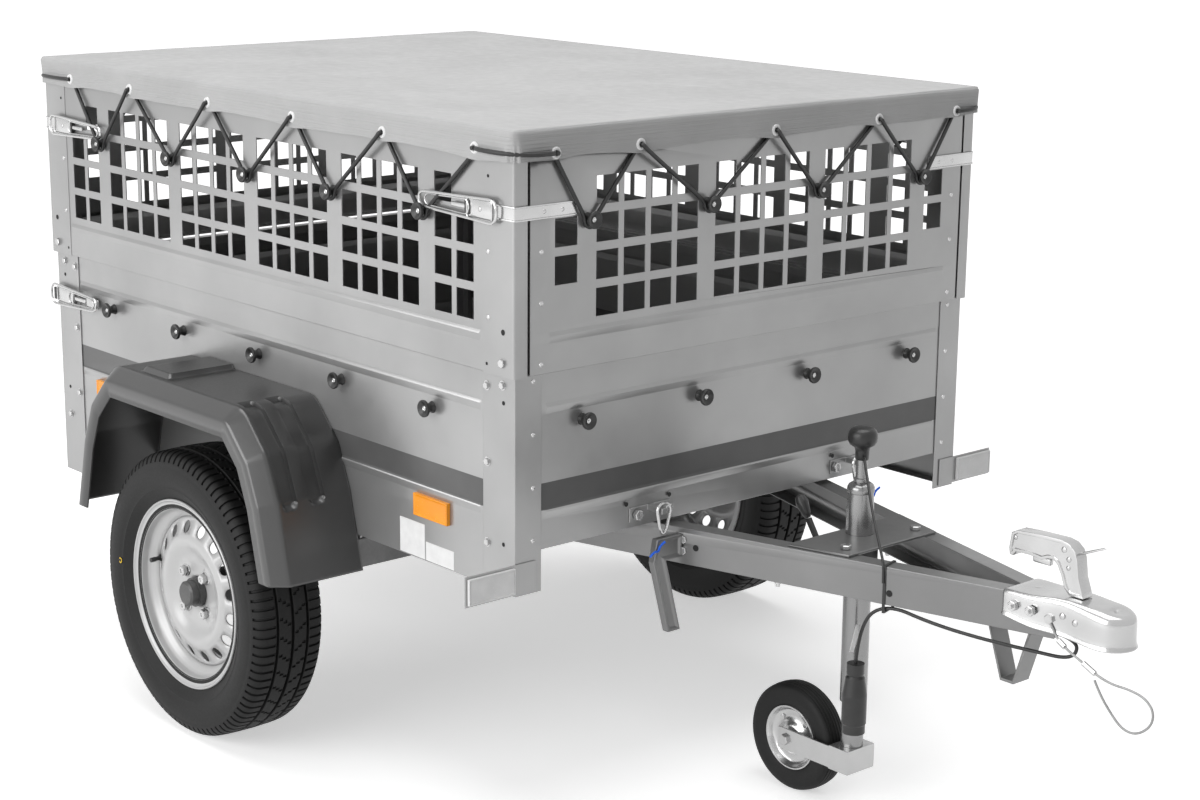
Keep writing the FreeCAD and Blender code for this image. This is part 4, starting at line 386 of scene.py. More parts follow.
def skin(shape, rings, closed=True, caps=True):
    """A skin over rings of the same number of points."""
    loops = []
    for ring in rings:
        spots = [shape.verts.new(place) for place in ring]
        pairs = list(zip(spots, spots[1:]))
        if closed:
            pairs.append((spots[-1], spots[0]))
        loops.append([shape.edges.new(ends) for ends in pairs])
    for first, second in zip(loops, loops[1:]):
        bmesh.ops.bridge_loops(shape, edges=first + second)
    if caps:
        for end in (loops[0], loops[-1]):
            bmesh.ops.contextual_create(shape, geom=end)
    return loops


# Pressed lines and rounded folds of the sheet-metal solids

GROOVES = (0.5775, 0.7570, 0.8780)  # heights of the pressed grooves
GROOVE_HALF = 0.009
GROOVE_DEEP = 0.008
GROOVE_FLOOR = 0.0007
BEAD_LIFT = 0.003
BEAD_PROUD = 0.0032
BEAD_END = 0.006
FLAT_ANGLE = math.radians(0.6)
SHARP_ANGLE = math.radians(25)


def off_groove(height):
    """How far a height is from the nearest groove."""
    return min(abs(height - groove) for groove in GROOVES)


def press_beads(shape, axis, low, high):
    """Turn the grooves of a panel into low beads that stop short of its ends."""
    way = Vector((1, 0, 0)) if axis == 0 else Vector((0, 1, 0))
    for limit in (low, low + BEAD_END, high - BEAD_END, high):
        faces = [face for face in shape.faces if off_groove(face.calc_center_median().z) < GROOVE_HALF * 0.7]
        edges = {edge for face in faces for edge in face.edges}
        spots = {spot for face in faces for spot in face.verts}
        bmesh.ops.bisect_plane(shape, geom=[*spots, *edges, *faces], plane_co=way * limit, plane_no=way)
    for spot in shape.verts:
        if off_groove(spot.co.z) > GROOVE_FLOOR:
            continue
        along = spot.co[axis]
        share = max(0.0, min(1.0, (along - low) / BEAD_END, (high - along) / BEAD_END))
        spot.co.z += BEAD_LIFT
        out = GROOVE_DEEP + BEAD_PROUD * share
        if axis == 0:
            spot.co.y += math.copysign(out, spot.co.y)
        else:
            spot.co.x += math.copysign(out, spot.co.x - MIDDLE)


def soften(node, body, width, least=0.0, segments=3, sink=None, beads=None):
    """A copy of a plain solid with its longer sharp edges rounded; sink presses its large faces in."""
    shape = bmesh.new()
    shape.from_mesh(cad_nodes[node].data)
    bmesh.ops.remove_doubles(shape, verts=shape.verts, dist=0.00001)
    bmesh.ops.dissolve_limit(shape, angle_limit=FLAT_ANGLE, verts=shape.verts, edges=shape.edges)
    if beads:
        press_beads(shape, *beads)
    if sink:
        margin, depth, way, area = sink
        faces = [face for face in shape.faces
                 if abs(face.normal.dot(Vector(way))) > 0.9 and face.calc_area() > area]
        press_in(shape, faces, margin, depth, -depth)
    weights = shape.edges.layers.float.new("bevel_weight_edge")
    for edge in shape.edges:
        sharp = len(edge.link_faces) == 2 and edge.calc_face_angle(0) > SHARP_ANGLE
        edge[weights] = 1.0 if sharp and edge.calc_length() > least else 0.0
    made = finish_piece(node + "_finished", shape, cad_nodes[node].data.materials[0], body, [node], 25)
    rounding = made.modifiers.new("rounding", "BEVEL")
    rounding.width = width
    rounding.segments = segments
    rounding.limit_method = "WEIGHT"
    rounding.harden_normals = True
    rounding.use_clamp_overlap = True


# Runs of the beads: axis, start and stop.
BOARD_RUN = (0, REAR + 0.0880, FRONT - 0.0880)
SIDE_RUN = (0, REAR + 0.0785, FRONT - 0.0785)
END_RUN = (1, -0.4912, 0.4912)

# Folded sheet: solid, body, width of the rounding, shortest edge that is rounded, run of the beads.
FOLDED = (
    ("side_boards", "bed", 0.0022, 0.5, BOARD_RUN), ("front_board", "bed", 0.0022, 0.4, END_RUN),
    ("mesh_panel_right", "bed", 0.0020, 0.5, SIDE_RUN), ("mesh_panel_left", "bed", 0.0020, 0.5, SIDE_RUN),
    ("mesh_panel_front", "bed", 0.0020, 0.4, END_RUN), ("mesh_panel_rear", "bed", 0.0020, 0.4, END_RUN),
    ("corner_posts", "bed", 0.0018, 0.25, None), ("rear_lamp_beam", "bed", 0.002, 0.3, None),
    ("floor_cross_members", "bed", 0.002, 0.3, None), ("tailgate", "tailgate", 0.0022, 0.4, END_RUN),
    ("drawbar_rail_right", "drawbar", 0.0045, 0.2, None), ("drawbar_rail_left", "drawbar", 0.0045, 0.2, None),
    ("cross_plate", "drawbar", 0.0018, 0.02, None), ("nose_bracket", "drawbar", 0.0008, 0.01, None),
)
for node, body, width, least, beads in FOLDED:
    soften(node, body, width, least, beads=beads)

# Plain blocks: solid, body, width and steps of the rounding, and the faces that are pressed in, by margin,
# depth, direction and least area.
ROUNDED = (
    ("toggle_clamps", "drawbar", 0.0016, 2, (0.0045, 0.0030, (1, 0, 0), 0.002)),
    ("bed_hooks", "bed", 0.0012, 3, None), ("axle_beam", "bed", 0.0040, 3, None),
    ("axle_brackets", "bed", 0.0012, 3, None), ("jockey_fork", "jockey_fork", 0.0014, 3, None),
    ("side_reflectors", "bed", 0.0022, 3, (0.0030, 0.0012, (0, 1, 0), 0.002)),
    ("front_reflectors", "bed", 0.0016, 2, (0.0026, 0.0010, (1, 0, 0), 0.002)),
    ("front_reflector_plates", "bed", 0.0010, 3, None),
    ("rear_lamps", "bed", 0.0050, 3, (0.0040, 0.0012, (1, 0, 0), 0.01)),
    ("jockey_clamp", "drawbar", 0.0010, 3, None), ("clamp_grip", "drawbar", 0.0012, 3, None),
)
for node, body, width, segments, sink in ROUNDED:
    soften(node, body, width, 0.0, segments, sink)


# Cover

EYELET_SIDE = [FRONT + ahead for ahead in (-1.410, -1.174, -0.889, -0.608, -0.335, -0.082)]
EYELET_END = [-0.483, -0.300, 0.017, 0.282, 0.496]
EYELET_HEIGHT = 1.188
EYELET_END_HEIGHT = EYELET_HEIGHT - 0.005
COVER_TOP = 1.2245
COVER_HEM = 1.173
COVER_OUT = 0.0165
COVER_CORNER = 0.016
COVER_EDGE = 0.006
FLAT_LONG = (FRONT - REAR) / 2 + COVER_OUT - COVER_CORNER
FLAT_WIDE = HALF_WIDTH + COVER_OUT - COVER_CORNER
COVER_FLAP = COVER_CORNER - COVER_EDGE + COVER_EDGE * math.pi / 2 + COVER_TOP - COVER_EDGE - COVER_HEM
CELL = 0.0075
HALF_LONG = 0.78
HALF_WIDE = 0.56


def cover_path(distance):
    """(outward, drop) of a point that lies a distance beyond the flat middle."""
    flat = COVER_CORNER - COVER_EDGE
    if distance < flat:
        return distance, 0.0
    turn = (distance - flat) / COVER_EDGE
    if turn < math.pi / 2:
        return flat + COVER_EDGE * math.sin(turn), COVER_EDGE * (1 - math.cos(turn))
    return COVER_CORNER, COVER_EDGE + distance - flat - COVER_EDGE * math.pi / 2


def cover_wave(x, y):
    """Height of the soft folds on the flat of the cover: waves, one sharper crease and a sag."""
    ridge = 0.0030 * math.sin(9.0 * y + 2.3 * x + 0.6) + 0.0020 * math.sin(17.0 * x - 5.0 * y + 1.1)
    ridge += 0.0016 * math.sin(31.0 * y - 11.0 * x) * math.cos(3.0 * x + 0.4)
    crease = math.sin(24.0 * y + 6.0 * x + 2.0 * math.sin(5.0 * x))
    ridge += 0.0030 * max(0.0, crease) ** 6 * (0.4 + 0.6 * math.cos(4.0 * x + 1.0) ** 2)
    sag = 0.0025 * (1 - ((x - MIDDLE) / HALF_LONG) ** 2) * (1 - (y / HALF_WIDE) ** 2)
    rim = min(HALF_LONG - abs(x - MIDDLE), HALF_WIDE - abs(y))
    return ridge * 0.75 * min(1.0, 0.12 + max(0.0, rim) / 0.10) - sag


def corner_gather(turn, low):
    """How far the hem is drawn in round a corner: shallow pleats and one deep crease."""
    pleats = 0.0030 * math.sin(8 * turn + 0.5) - 0.0030
    return low * (pleats - 0.0060 * math.exp(-((turn - 0.95) / 0.16) ** 2))


def hem_ripple(along, low, pull):
    """How far the hem stands out between the eyelets, where the lacing doesn't pull it in."""
    wave = 0.6 * math.sin(37 * along + 2.0) + 0.4 * math.sin(83 * along + 0.7)
    return low * (0.0034 * (0.5 + 0.5 * wave) * (1 - pull) + 0.0018 * pull)


def cover_place(u, v):
    """Where a point of the flat sheet lies once it is pulled over the mesh panels."""
    past_u, past_v = max(abs(u) - FLAT_LONG, 0), max(abs(v) - FLAT_WIDE, 0)
    base_x, base_y = max(-FLAT_LONG, min(FLAT_LONG, u)), max(-FLAT_WIDE, min(FLAT_WIDE, v))
    reach = max(past_u, past_v)
    out, drop = cover_path(reach)
    turn = math.atan2(past_v, past_u) if reach > 0 else 0
    low = max(0.0, (drop - COVER_EDGE) / (COVER_TOP - COVER_HEM - COVER_EDGE))
    if past_v > past_u:
        along, near = base_x, min(abs(base_x + MIDDLE - eyelet) for eyelet in EYELET_SIDE)
    else:
        along, near = base_y, min(abs(base_y - eyelet) for eyelet in EYELET_END)
    pull = math.exp(-(near / 0.035) ** 2)
    out += hem_ripple(along, low, pull)
    if past_u > 0 and past_v > 0:
        out += corner_gather(turn, low)
    x = base_x + math.copysign(out * math.cos(turn), u) if past_u > 0 else base_x
    y = base_y + math.copysign(out * math.sin(turn), v) if past_v > 0 else base_y
    height = COVER_TOP - drop + cover_wave(x + MIDDLE, y) * max(0.0, 1 - reach / 0.02)
    height += low * (0.0022 * math.sin(13 * base_x + 19 * base_y) + 0.0035 * (1 - pull) - 0.0025)
    return MIDDLE + x, y, height


def add_cover(half_long, half_wide):
    """One sheet over the mesh panels, with a hem all round and gathered corners."""
    shape = bmesh.new()
    cells_long, cells_wide = 2 * round(half_long / CELL), 2 * round(half_wide / CELL)
    bmesh.ops.create_grid(shape, x_segments=cells_long, y_segments=cells_wide, size=1)
    for spot in shape.verts:
        spot.co = cover_place(spot.co.x * half_long, spot.co.y * half_wide)
    return finish_piece("cover_sheet", shape, cover_cloth, "bed", ["cover"], 80)


cover_long, cover_wide = 2 * (FLAT_LONG + COVER_FLAP), 2 * (FLAT_WIDE + COVER_FLAP)
cover_sheet = add_cover(cover_long / 2, cover_wide / 2)


def add_eyelets():
    """White plastic rings where the lacing goes through the hem."""
    shape = bmesh.new()
    ring = [(0.0002, 0.0042), (0.0030, 0.0046), (0.0040, 0.0062), (0.0036, 0.0090), (0.0018, 0.0102),
            (0.0002, 0.0104)]
    for way in (-1, 1):
        end = FRONT + COVER_OUT if way > 0 else REAR - COVER_OUT
        for x in EYELET_SIDE:
            lathe(shape, (x, way * (HALF_WIDTH + COVER_OUT), EYELET_HEIGHT), (0, way, 0), ring, 24)
        for y in EYELET_END:
            lathe(shape, (end, y, EYELET_END_HEIGHT), (way, 0, 0), ring, 24)
    finish_piece("cover_eyelets", shape, white_plastic, "bed", crease=50)


add_eyelets()


# Lacing knobs

KNOB_LOW = 0.727
KNOB_HIGH = 1.068
KNOB_SUNK = -0.0025
KNOB_SIDE = [MIDDLE + 0.269 * step for step in (-2, -1, 0, 1, 2)]
KNOB_END = [0.271 * step for step in (-1.5, -0.5, 0.5, 1.5)]
KNOB_SECTION = [(0.0, 0.0105), (0.0015, 0.0102), (0.0045, 0.0085), (0.009, 0.0075), (0.0125, 0.0082),
                (0.0150, 0.0125), (0.0162, 0.0146), (0.0180, 0.0152), (0.0205, 0.0150), (0.0219, 0.0138),
                (0.0216, 0.0122), (0.0178, 0.0062), (0.0170, 0.0050), (0.0170, 0.0)]


def rear_knobs(height, out):
    return [((REAR - out, y, height), (-1, 0, 0)) for y in KNOB_END]


def front_knobs(height, out):
    """Place and direction of the knobs along both sides and the front."""
    places = [((x, side * (HALF_WIDTH + out), height), (0, side, 0)) for side in (-1, 1) for x in KNOB_SIDE]
    return places + [((FRONT + out, y, height), (1, 0, 0)) for y in KNOB_END]


def add_knobs(name, places, stands_for, body):
    shape, screws = bmesh.new(), bmesh.new()
    for place, axis in places:
        lathe(shape, place, axis, KNOB_SECTION, 32)
        out = Vector(place) + Vector(axis) * 0.0170
        lathe(screws, out, axis, [(0, 0.0046), (0.0012, 0.0044), (0.0018, 0.0030), (0.0012, 0.0022),
                                  (0.0011, 0.0)], 20)
    finish_piece(name, shape, black_plastic, body, stands_for, 30)
    finish_piece(name + "_screws", screws, bright_zinc, body, (), 40)


add_knobs("low_lacing_knobs", front_knobs(KNOB_LOW, KNOB_SUNK), ["board_knobs"], "bed")
add_knobs("gate_lacing_knobs", rear_knobs(KNOB_LOW, KNOB_SUNK), ["tailgate_knobs"], "tailgate")
high_knobs = front_knobs(KNOB_HIGH, PROUD) + rear_knobs(KNOB_HIGH, PROUD)
add_knobs("high_lacing_knobs", high_knobs, ["mesh_knobs"], "bed")


# Road wheels: sections in millimetres as (across or along the axle, radius)

TYRE_HALF = [(57.5, 164), (59.5, 167), (59.6, 178), (61, 184), (64.5, 191), (69.5, 198), (72.6, 203.5),
             (73.9, 206), (73.6, 208), (75.6, 214), (77, 222), (77.5, 231), (77.2, 239), (76.2, 246),
             (74.9, 250), (75.2, 252), (73.6, 256), (71.0, 262), (68.6, 266), (65.2, 269.6), (61, 272.4),
             (56, 274.2), (50, 274.9), (43, 275.4), (36.2, 275.7), (35.4, 274.9), (34.2, 269.6), (30.4, 269.7),
             (29.4, 275.2), (28.6, 276.0), (20.5, 276.2), (12.3, 276.4), (4.2, 276.5), (3.4, 275.8),
             (2.4, 270.0)]
TREAD_STEPS = 288
RIBS = (0.004, 0.0286)
RIB_WIDE = 0.0082
RIB_RADIUS = 0.2735
SHOULDER = (0.0365, 0.0735)
SHOULDER_RADIUS = 0.256
SLIT_EVERY = 6
LUG_EVERY = 3


def wheel_centre(side):
    return Vector((AXLE, side * WHEEL_SIDE, WHEEL_HEIGHT))


def add_tyre(hand, side):
    """Tyre with three main grooves, blocks on the shoulders and stepped slits on the ribs."""
    centre = wheel_centre(side)
    shape = bmesh.new()
    section = [(across / 1000, radius / 1000) for across, radius in TYRE_HALF]
    section += [(-across, radius) for across, radius in section[::-1]]
    lathe(shape, centre, (0, side, 0), section, TREAD_STEPS)
    bmesh.ops.recalc_face_normals(shape, faces=shape.faces)
    slits, lugs = [], []
    for face in shape.faces:
        at = face.calc_center_median() - centre
        across, radius = abs(at.y), math.hypot(at.x, at.z)
        index = int((math.atan2(at.z, at.x) + math.pi) / (FULL_TURN / TREAD_STEPS) + 0.001)
        if radius > RIB_RADIUS and RIBS[0] < across < RIBS[1]:
            rib = min(int((across - 0.0042) / RIB_WIDE), 2)
            if index % SLIT_EVERY == rib + (SLIT_EVERY // 2 if at.y > 0 else 0):
                slits.append(face)
        if radius > SHOULDER_RADIUS and SHOULDER[0] < across < SHOULDER[1] and index % LUG_EVERY == 0:
            lugs.append(face)
    bmesh.ops.inset_individual(shape, faces=slits, thickness=0.0014, depth=-0.003)
    bmesh.ops.inset_region(shape, faces=lugs, thickness=0.0012, depth=-0.0035, use_boundary=True,
                           use_even_offset=True)
    finish_piece(f"{hand}_tyre", shape, tyre_rubber, f"wheel_{hand}", [f"tyre_{hand}"], 32)


BARREL = [(61.2, 183.4), (63.6, 183.2), (64.8, 181.6), (64.6, 179.8), (62.6, 178.4), (60.6, 176.6), (59.4, 173),
          (58.6, 167), (56.4, 163.2), (50, 162.4), (45.5, 162.2), (42.6, 161), (38.6, 156.5), (35.4, 150.5),
          (31.4, 146.2), (26, 144.4), (8, 143.8), (-12, 144.2), (-22, 147), (-30, 156), (-36, 161.6),
          (-54, 162.4), (-58.4, 166), (-60.2, 176.6), (-64.4, 180), (-63.6, 183.2), (-61.2, 183.4), (-60, 178),
          (-59.6, 166), (-36, 165.4), (-24, 150), (-12, 147.2), (24, 147.4), (32, 153), (40, 162.8), (46, 165.2),
          (58.8, 165.8), (60.0, 177)]
DISH = [(29.6, 28.8), (29.6, 33), (30.2, 36), (31.6, 58), (32.2, 62), (33.4, 68), (36.6, 76), (40.6, 83),
        (43.8, 89), (45.8, 95), (46.2, 100), (45.4, 105), (43.4, 110), (40.2, 118), (36.4, 126), (32.6, 134),
        (29.6, 141), (28.2, 144.4)]
VENTS = 16
BOLT_ANGLES = [math.radians(45 + 90 * quarter) for quarter in range(4)]
BOLT_CIRCLE = 0.049
# Raised seats round the bolts, in millimetres.
SEAT_TALL = 4.0
SEAT_RADIUS = 19
SEAT_SLOPE = 7
DISC_THICK = 0.0035


def dish_depth(radius):
    """How far the wheel disc stands out at a radius, both in millimetres."""
    for (near, inner), (far, outer) in zip(DISH, DISH[1:]):
        if inner <= radius <= outer:
            share = (radius - inner) / (outer - inner)
            return near + (far - near) * share
    return DISH[-1][0] if radius > DISH[-1][1] else DISH[0][0]


def vent_patch(shape, middle):
    """One sector of the disc with a round vent hole, drawn flat as (radius, angle)."""
    half = math.pi / VENTS
    inner, outer, at, hole = 110, 141, 126, 11.8
    edge = [(inner, -half + half * k / 4) for k in range(8)]
    edge += [(inner + (outer - inner) * k / 4, half) for k in range(4)]
    edge += [(outer, half - half * k / 4) for k in range(8)]
    edge += [(outer - (outer - inner) * k / 4, -half) for k in range(4)]
    spots = []
    for radius, angle in edge:
        spots.append(Vector((radius * math.cos(angle), radius * math.sin(angle), 0)))
    centre = Vector((at, 0, 0))
    ring = [centre + (spot - centre).normalized() * hole for spot in spots]
    turn = Matrix.Rotation(middle, 3, "Z")
    loops = []
    for points in (spots, ring):
        made = [shape.verts.new(turn @ point) for point in points]
        loops += [shape.edges.new(ends) for ends in zip(made, made[1:] + made[:1])]
    bmesh.ops.bridge_loops(shape, edges=loops)


def seat_rise(spot):
    """How far the disc stands out round the bolts at a place on it, in millimetres."""
    rise = 0.0
    for angle in BOLT_ANGLES:
        bolt_x, bolt_y = 1000 * BOLT_CIRCLE * math.cos(angle), 1000 * BOLT_CIRCLE * math.sin(angle)
        away = math.hypot(spot.x - bolt_x, spot.y - bolt_y)
        rise = max(rise, SEAT_TALL * max(0.0, min(1.0, (SEAT_RADIUS - away) / SEAT_SLOPE)))
    return rise


def add_rim(hand, side):
    """Rolled barrel with a well, and a dished disc with a ring of vents."""
    centre = wheel_centre(side)
    shape = bmesh.new()
    lathe(shape, centre, (0, side, 0), [(along / 1000, radius / 1000) for along, radius in BARREL], 128, True)
    finish_piece(f"{hand}_rim", shape, rim_silver, f"wheel_{hand}", [f"rim_{hand}"], 40)
    disc = bmesh.new()
    for inner, outer in ((28.8, 110), (141, 144.4)):
        radii = [inner] + [radius for along, radius in DISH if inner < radius < outer] + [outer]
        lathe(disc, (0, 0, 0), (0, 0, 1), [(0, radius) for radius in radii], VENTS * 8)
    start = Vector((0, 0, 1)).orthogonal()
    first = math.atan2(start.y, start.x)
    for index in range(VENTS):
        vent_patch(disc, first + FULL_TURN * (index + 0.5) / VENTS)
    for spot in disc.verts:
        out = dish_depth(math.hypot(spot.co.x, spot.co.y)) + seat_rise(spot.co)
        spot.co = centre + Vector((spot.co.x, side * out, spot.co.y)) / 1000
    made = finish_piece(f"{hand}_rim_disc", disc, rim_silver, f"wheel_{hand}", (), 40)
    thicken(made, DISC_THICK)


BOLT_SEAT = [(0.030, 0.0), (0.030, 0.0125), (0.0345, 0.0128), (0.036, 0.0118)]
BOLT_HEAD = [(0.035, 0.0098), (0.0455, 0.0098), (0.0468, 0.0082), (0.0468, 0.0045), (0.0450, 0.0035),
             (0.0450, 0.0)]
HUB_CAP = [(0.028, 0.0275), (0.040, 0.0275), (0.041, 0.0262), (0.0415, 0.0245), (0.0545, 0.0240),
           (0.0575, 0.0225), (0.0590, 0.0195), (0.0592, 0.0150), (0.0586, 0.0140), (0.0586, 0.0)]


def add_wheel_bolts(hand, side):
    """Four hexagon bolts on round seats, and the cap of the hub."""
    out = (0, side, 0)
    shape = bmesh.new()
    for angle in BOLT_ANGLES:
        at = wheel_centre(side) + Vector((math.cos(angle), 0, math.sin(angle))) * BOLT_CIRCLE
        lathe(shape, at, out, BOLT_SEAT, 24)
        lathe(shape, at, out, BOLT_HEAD, 6)
    finish_piece(f"{hand}_wheel_bolts", shape, bright_zinc, f"wheel_{hand}", [f"wheel_bolts_{hand}"],
                 30)
    cap = bmesh.new()
    lathe(cap, wheel_centre(side), out, HUB_CAP, 48)
    finish_piece(f"{hand}_wheel_bolts_cap", cap, hub_black, f"wheel_{hand}", (), 30)


VALVE = [(0, 0.0075), (0.006, 0.0068), (0.010, 0.0042), (0.018, 0.0040), (0.0185, 0.0048), (0.0285, 0.0046),
         (0.0295, 0.0)]
TYRE_MARK = [(0.0, 0.0032), (0.0008, 0.0034), (0.0008, 0.0056), (0.0, 0.0058)]


def on_wheel(side, degrees, radius, out):
    """A place on the outer face of a wheel."""
    angle = math.radians(degrees)
    return wheel_centre(side) + Vector((radius * math.cos(angle), side * out, radius * math.sin(angle)))


def add_valve(hand, side):
    """Valve through the rim, and a painted ring mark on the tyre."""
    shape, mark = bmesh.new(), bmesh.new()
    lathe(shape, on_wheel(side, 166, 0.1395, 0.026), (0.12, side, 0), VALVE, 16)
    finish_piece(f"valve_wheel_{hand}", shape, black_plastic, f"wheel_{hand}", (), 40)
    lathe(mark, on_wheel(side, 175, 0.213, 0.0752), (0, side, 0), TYRE_MARK, 24)
    finish_piece(f"tyre_mark_wheel_{hand}", mark, yellow_mark, f"wheel_{hand}", (), 40)


for hand, side in SIDES:
    add_tyre(hand, side)
    add_rim(hand, side)
    add_wheel_bolts(hand, side)
    add_valve(hand, side)


# Lacing

LACE = 0.0075
# How far the cord lies out from the posts: behind the hem, outside it, and round a knob.
LACE_BEHIND = 0.0118
LACE_OUTSIDE = 0.0245
LACE_KNOB = PROUD + 0.0078
# The cord's places round a knob, along the side and up.
KNOB_WRAP = ((-0.0125, 0.004), (-0.0112, -0.0085), (0.0, -0.0148), (0.0112, -0.0085), (0.0125, 0.004))


def toward(start, stop, share):
    return tuple(a + (b - a) * share for a, b in zip(start, stop))


def lace_run(at, eyelets, knobs, height, knob_height):
    """Cord along one side: down from behind the hem or over it, round each knob, up and out at an eyelet."""
    way = 1 if eyelets[-1] > eyelets[0] else -1
    points = [at(eyelets[0], height, LACE_OUTSIDE), at(eyelets[0], height, LACE_BEHIND)]
    for index, (knob, eyelet) in enumerate(zip(knobs, eyelets[1:])):
        top = at(eyelets[index], height - 0.003, LACE_BEHIND if index == 0 else LACE_OUTSIDE)
        wrap = [at(knob + along * way, knob_height + up, LACE_KNOB) for along, up in KNOB_WRAP]
        after = at(eyelet, height - 0.003, LACE_BEHIND)
        points += [toward(top, wrap[0], 0.04), toward(top, wrap[0], 0.86), *wrap,
                   toward(wrap[-1], after, 0.14), toward(wrap[-1], after, 0.95),
                   at(eyelet, height, LACE_BEHIND), at(eyelet, height, LACE_OUTSIDE)]
    return points


def add_lacing():
    """Elastic cord that holds the cover down, all the way round."""
    at_side = (EYELET_SIDE[::-1], KNOB_SIDE[::-1], EYELET_HEIGHT, KNOB_HIGH)
    at_end = (EYELET_END, KNOB_END, EYELET_END_HEIGHT, KNOB_HIGH)
    runs = [
        lace_run(lambda along, up, out: (along, -HALF_WIDTH - out, up), *at_side),
        lace_run(lambda along, up, out: (along, HALF_WIDTH + out, up), *at_side),
        lace_run(lambda along, up, out: (FRONT + out, along, up), *at_end),
        lace_run(lambda along, up, out: (REAR - out, along, up), *at_end),
    ]
    reach = LACE_OUTSIDE + 0.0004
    for side in (-1, 1):
        beside, inside = side * (HALF_WIDTH + reach), side * (HALF_WIDTH + LACE_BEHIND)
        across = EYELET_END[0] if side < 0 else EYELET_END[-1]
        for end, way, last in ((FRONT, 1, EYELET_SIDE[-1]), (REAR, -1, EYELET_SIDE[0])):
            runs.append([(last, inside, EYELET_HEIGHT), (last, beside, EYELET_HEIGHT),
                         (end - 0.012 * way, beside, EYELET_HEIGHT - 0.001),
                         (end + reach * way, side * (HALF_WIDTH - 0.004), EYELET_HEIGHT - 0.003),
                         (end + reach * way, across, EYELET_END_HEIGHT),
                         (end + LACE_BEHIND * way, across, EYELET_END_HEIGHT)])
    for number, points in enumerate(runs):
        lace = smooth_cord(f"cover_lacing_{number}", points, LACE, cable_black, "bed")


add_lacing()


# Fasteners

def dome(radius, tall):
    """Section of a rivet head."""
    return [(0, radius), (tall * 0.45, radius * 0.92), (tall * 0.85, radius * 0.6), (tall, 0.0)]


def nut(radius, tall):
    """Section of a hexagon head."""
    return [(0, radius), (tall * 0.85, radius), (tall, radius * 0.86), (tall, 0.0)]


def hole(radius):
    """Section of a dark disc over a drilled hole, which paints the shade inside it."""
    return [(0.00035, radius), (0.00045, radius * 0.9), (0.0004, 0.0)]


def fasten(name, places, section, material, body, steps=16):
    """The same turned head at many places: (place, direction)."""
    shape = bmesh.new()
    for place, axis in places:
        lathe(shape, place, axis, section, steps)
    return finish_piece(name, shape, material, body, (), 30)


def four_sides(places, face):
    """Places on the right front corner, repeated on the left and at the rear."""
    made = []
    for ahead, up in places:
        for side in (-1, 1):
            made.append(((FRONT + ahead, side * face, up), (0, side, 0)))
            made.append(((REAR - ahead, side * face, up), (0, side, 0)))
    return made


ANGLE_FACE = HALF_WIDTH + PROUD + 0.0008  # outer face of an upper corner angle
POST_SCREWS = four_sides(
    [(-0.0733, 0.794), (-0.0318, 0.801), (-0.072, 0.664), (-0.072, 0.524), (-0.030, 0.470)], HALF_WIDTH)
fasten("post_screws", POST_SCREWS, nut(0.0062, 0.0048), bright_zinc, "bed", 6)
fasten("post_washers", POST_SCREWS, [(0, 0.0085), (0.0010, 0.0083), (0.0012, 0.0)], bright_zinc, "bed", 20)

# Heads on the corners, and dark discs that paint the shade inside their holes: name, places, outer face, section,
# material, steps.
CORNER_HEADS = (
    ("post_holes", [(-0.0295, 0.7715), (-0.030, 0.529)], HALF_WIDTH, hole(0.0038), painted_hole_shade, 16),
    ("mesh_rivets", [(-0.060, 0.9117), (-0.060, 1.0205)], ANGLE_FACE, dome(0.0045, 0.0020), bright_zinc, 16),
    ("mesh_holes", [(-0.0594, 1.1443), (-0.0640, 0.8336)], ANGLE_FACE, hole(0.0028), painted_hole_shade, 16),
    ("angle_holes", [(-0.0211, 0.8925)], ANGLE_FACE, hole(0.0050), painted_hole_shade, 16),
    ("angle_bolts", [(-0.0226, 0.8408)], ANGLE_FACE, nut(0.0078, 0.0052), bright_zinc, 6),
)
for name, places, face, section, material, steps in CORNER_HEADS:
    fasten(name, four_sides(places, face), section, material, "bed", steps)

FRONT_RIVETS = ((0.0, 0.515, (0.808, 0.717, 0.626, 0.535)), (PROUD, 0.504, (0.8355, 0.9377, 1.0228)))
front_rivets = [((FRONT + out, side * across, up), (1, 0, 0)) for out, across, heights in FRONT_RIVETS
                for side in (-1, 1) for up in heights]
fasten("front_rivets", front_rivets, dome(0.0042, 0.0015), bright_zinc, "bed")

ANGLE_BEND = 0.0045
ANGLE_THICK = 0.0011
ANGLE_LONG = 0.0812
ANGLE_INNER = 0.5330
ANGLE_HEIGHTS = (0.8178, 1.2175)


def add_corner_angles():
    """Folded angle round each upper corner, over the end of the side panel."""
    shape = bmesh.new()
    for side in (-1, 1):
        for x, way in ((FRONT + PROUD - 0.0002, 1), (REAR - PROUD + 0.0002, -1)):
            y = side * ANGLE_FACE
            line = [(x - way * ANGLE_LONG, y)]
            for step in range(6):
                turn = math.radians(18 * step)
                back, aside = 1 - math.sin(turn), 1 - math.cos(turn)
                line.append((x - way * ANGLE_BEND * back, y - side * ANGLE_BEND * aside))
            line.append((x, side * ANGLE_INNER))
            inner = [(at_x - (way * ANGLE_THICK if index > 3 else 0),
                      at_y - (side * ANGLE_THICK if index < 5 else 0)) for index, (at_x, at_y) in enumerate(line)]
            skin(shape, [[(*place, up) for place in line + inner[::-1]] for up in ANGLE_HEIGHTS])
    finish_piece("upper_corner_angles", shape, galvanised, "bed", (), 40)


add_corner_angles()


# Latches

MESH_LATCH_HEIGHT = 1.089
GATE_LATCH_HEIGHT = 0.7275
STRAP_BEND = 0.004
STRAP_SECTION = [(-0.012, 0.0004), (-0.012, 0.0026), (-0.0108, 0.0030), (-0.0096, 0.0026), (-0.0090, 0.0013),
                 (0.0090, 0.0013), (0.0096, 0.0026), (0.0108, 0.0030), (0.012, 0.0026), (0.012, 0.0004)]
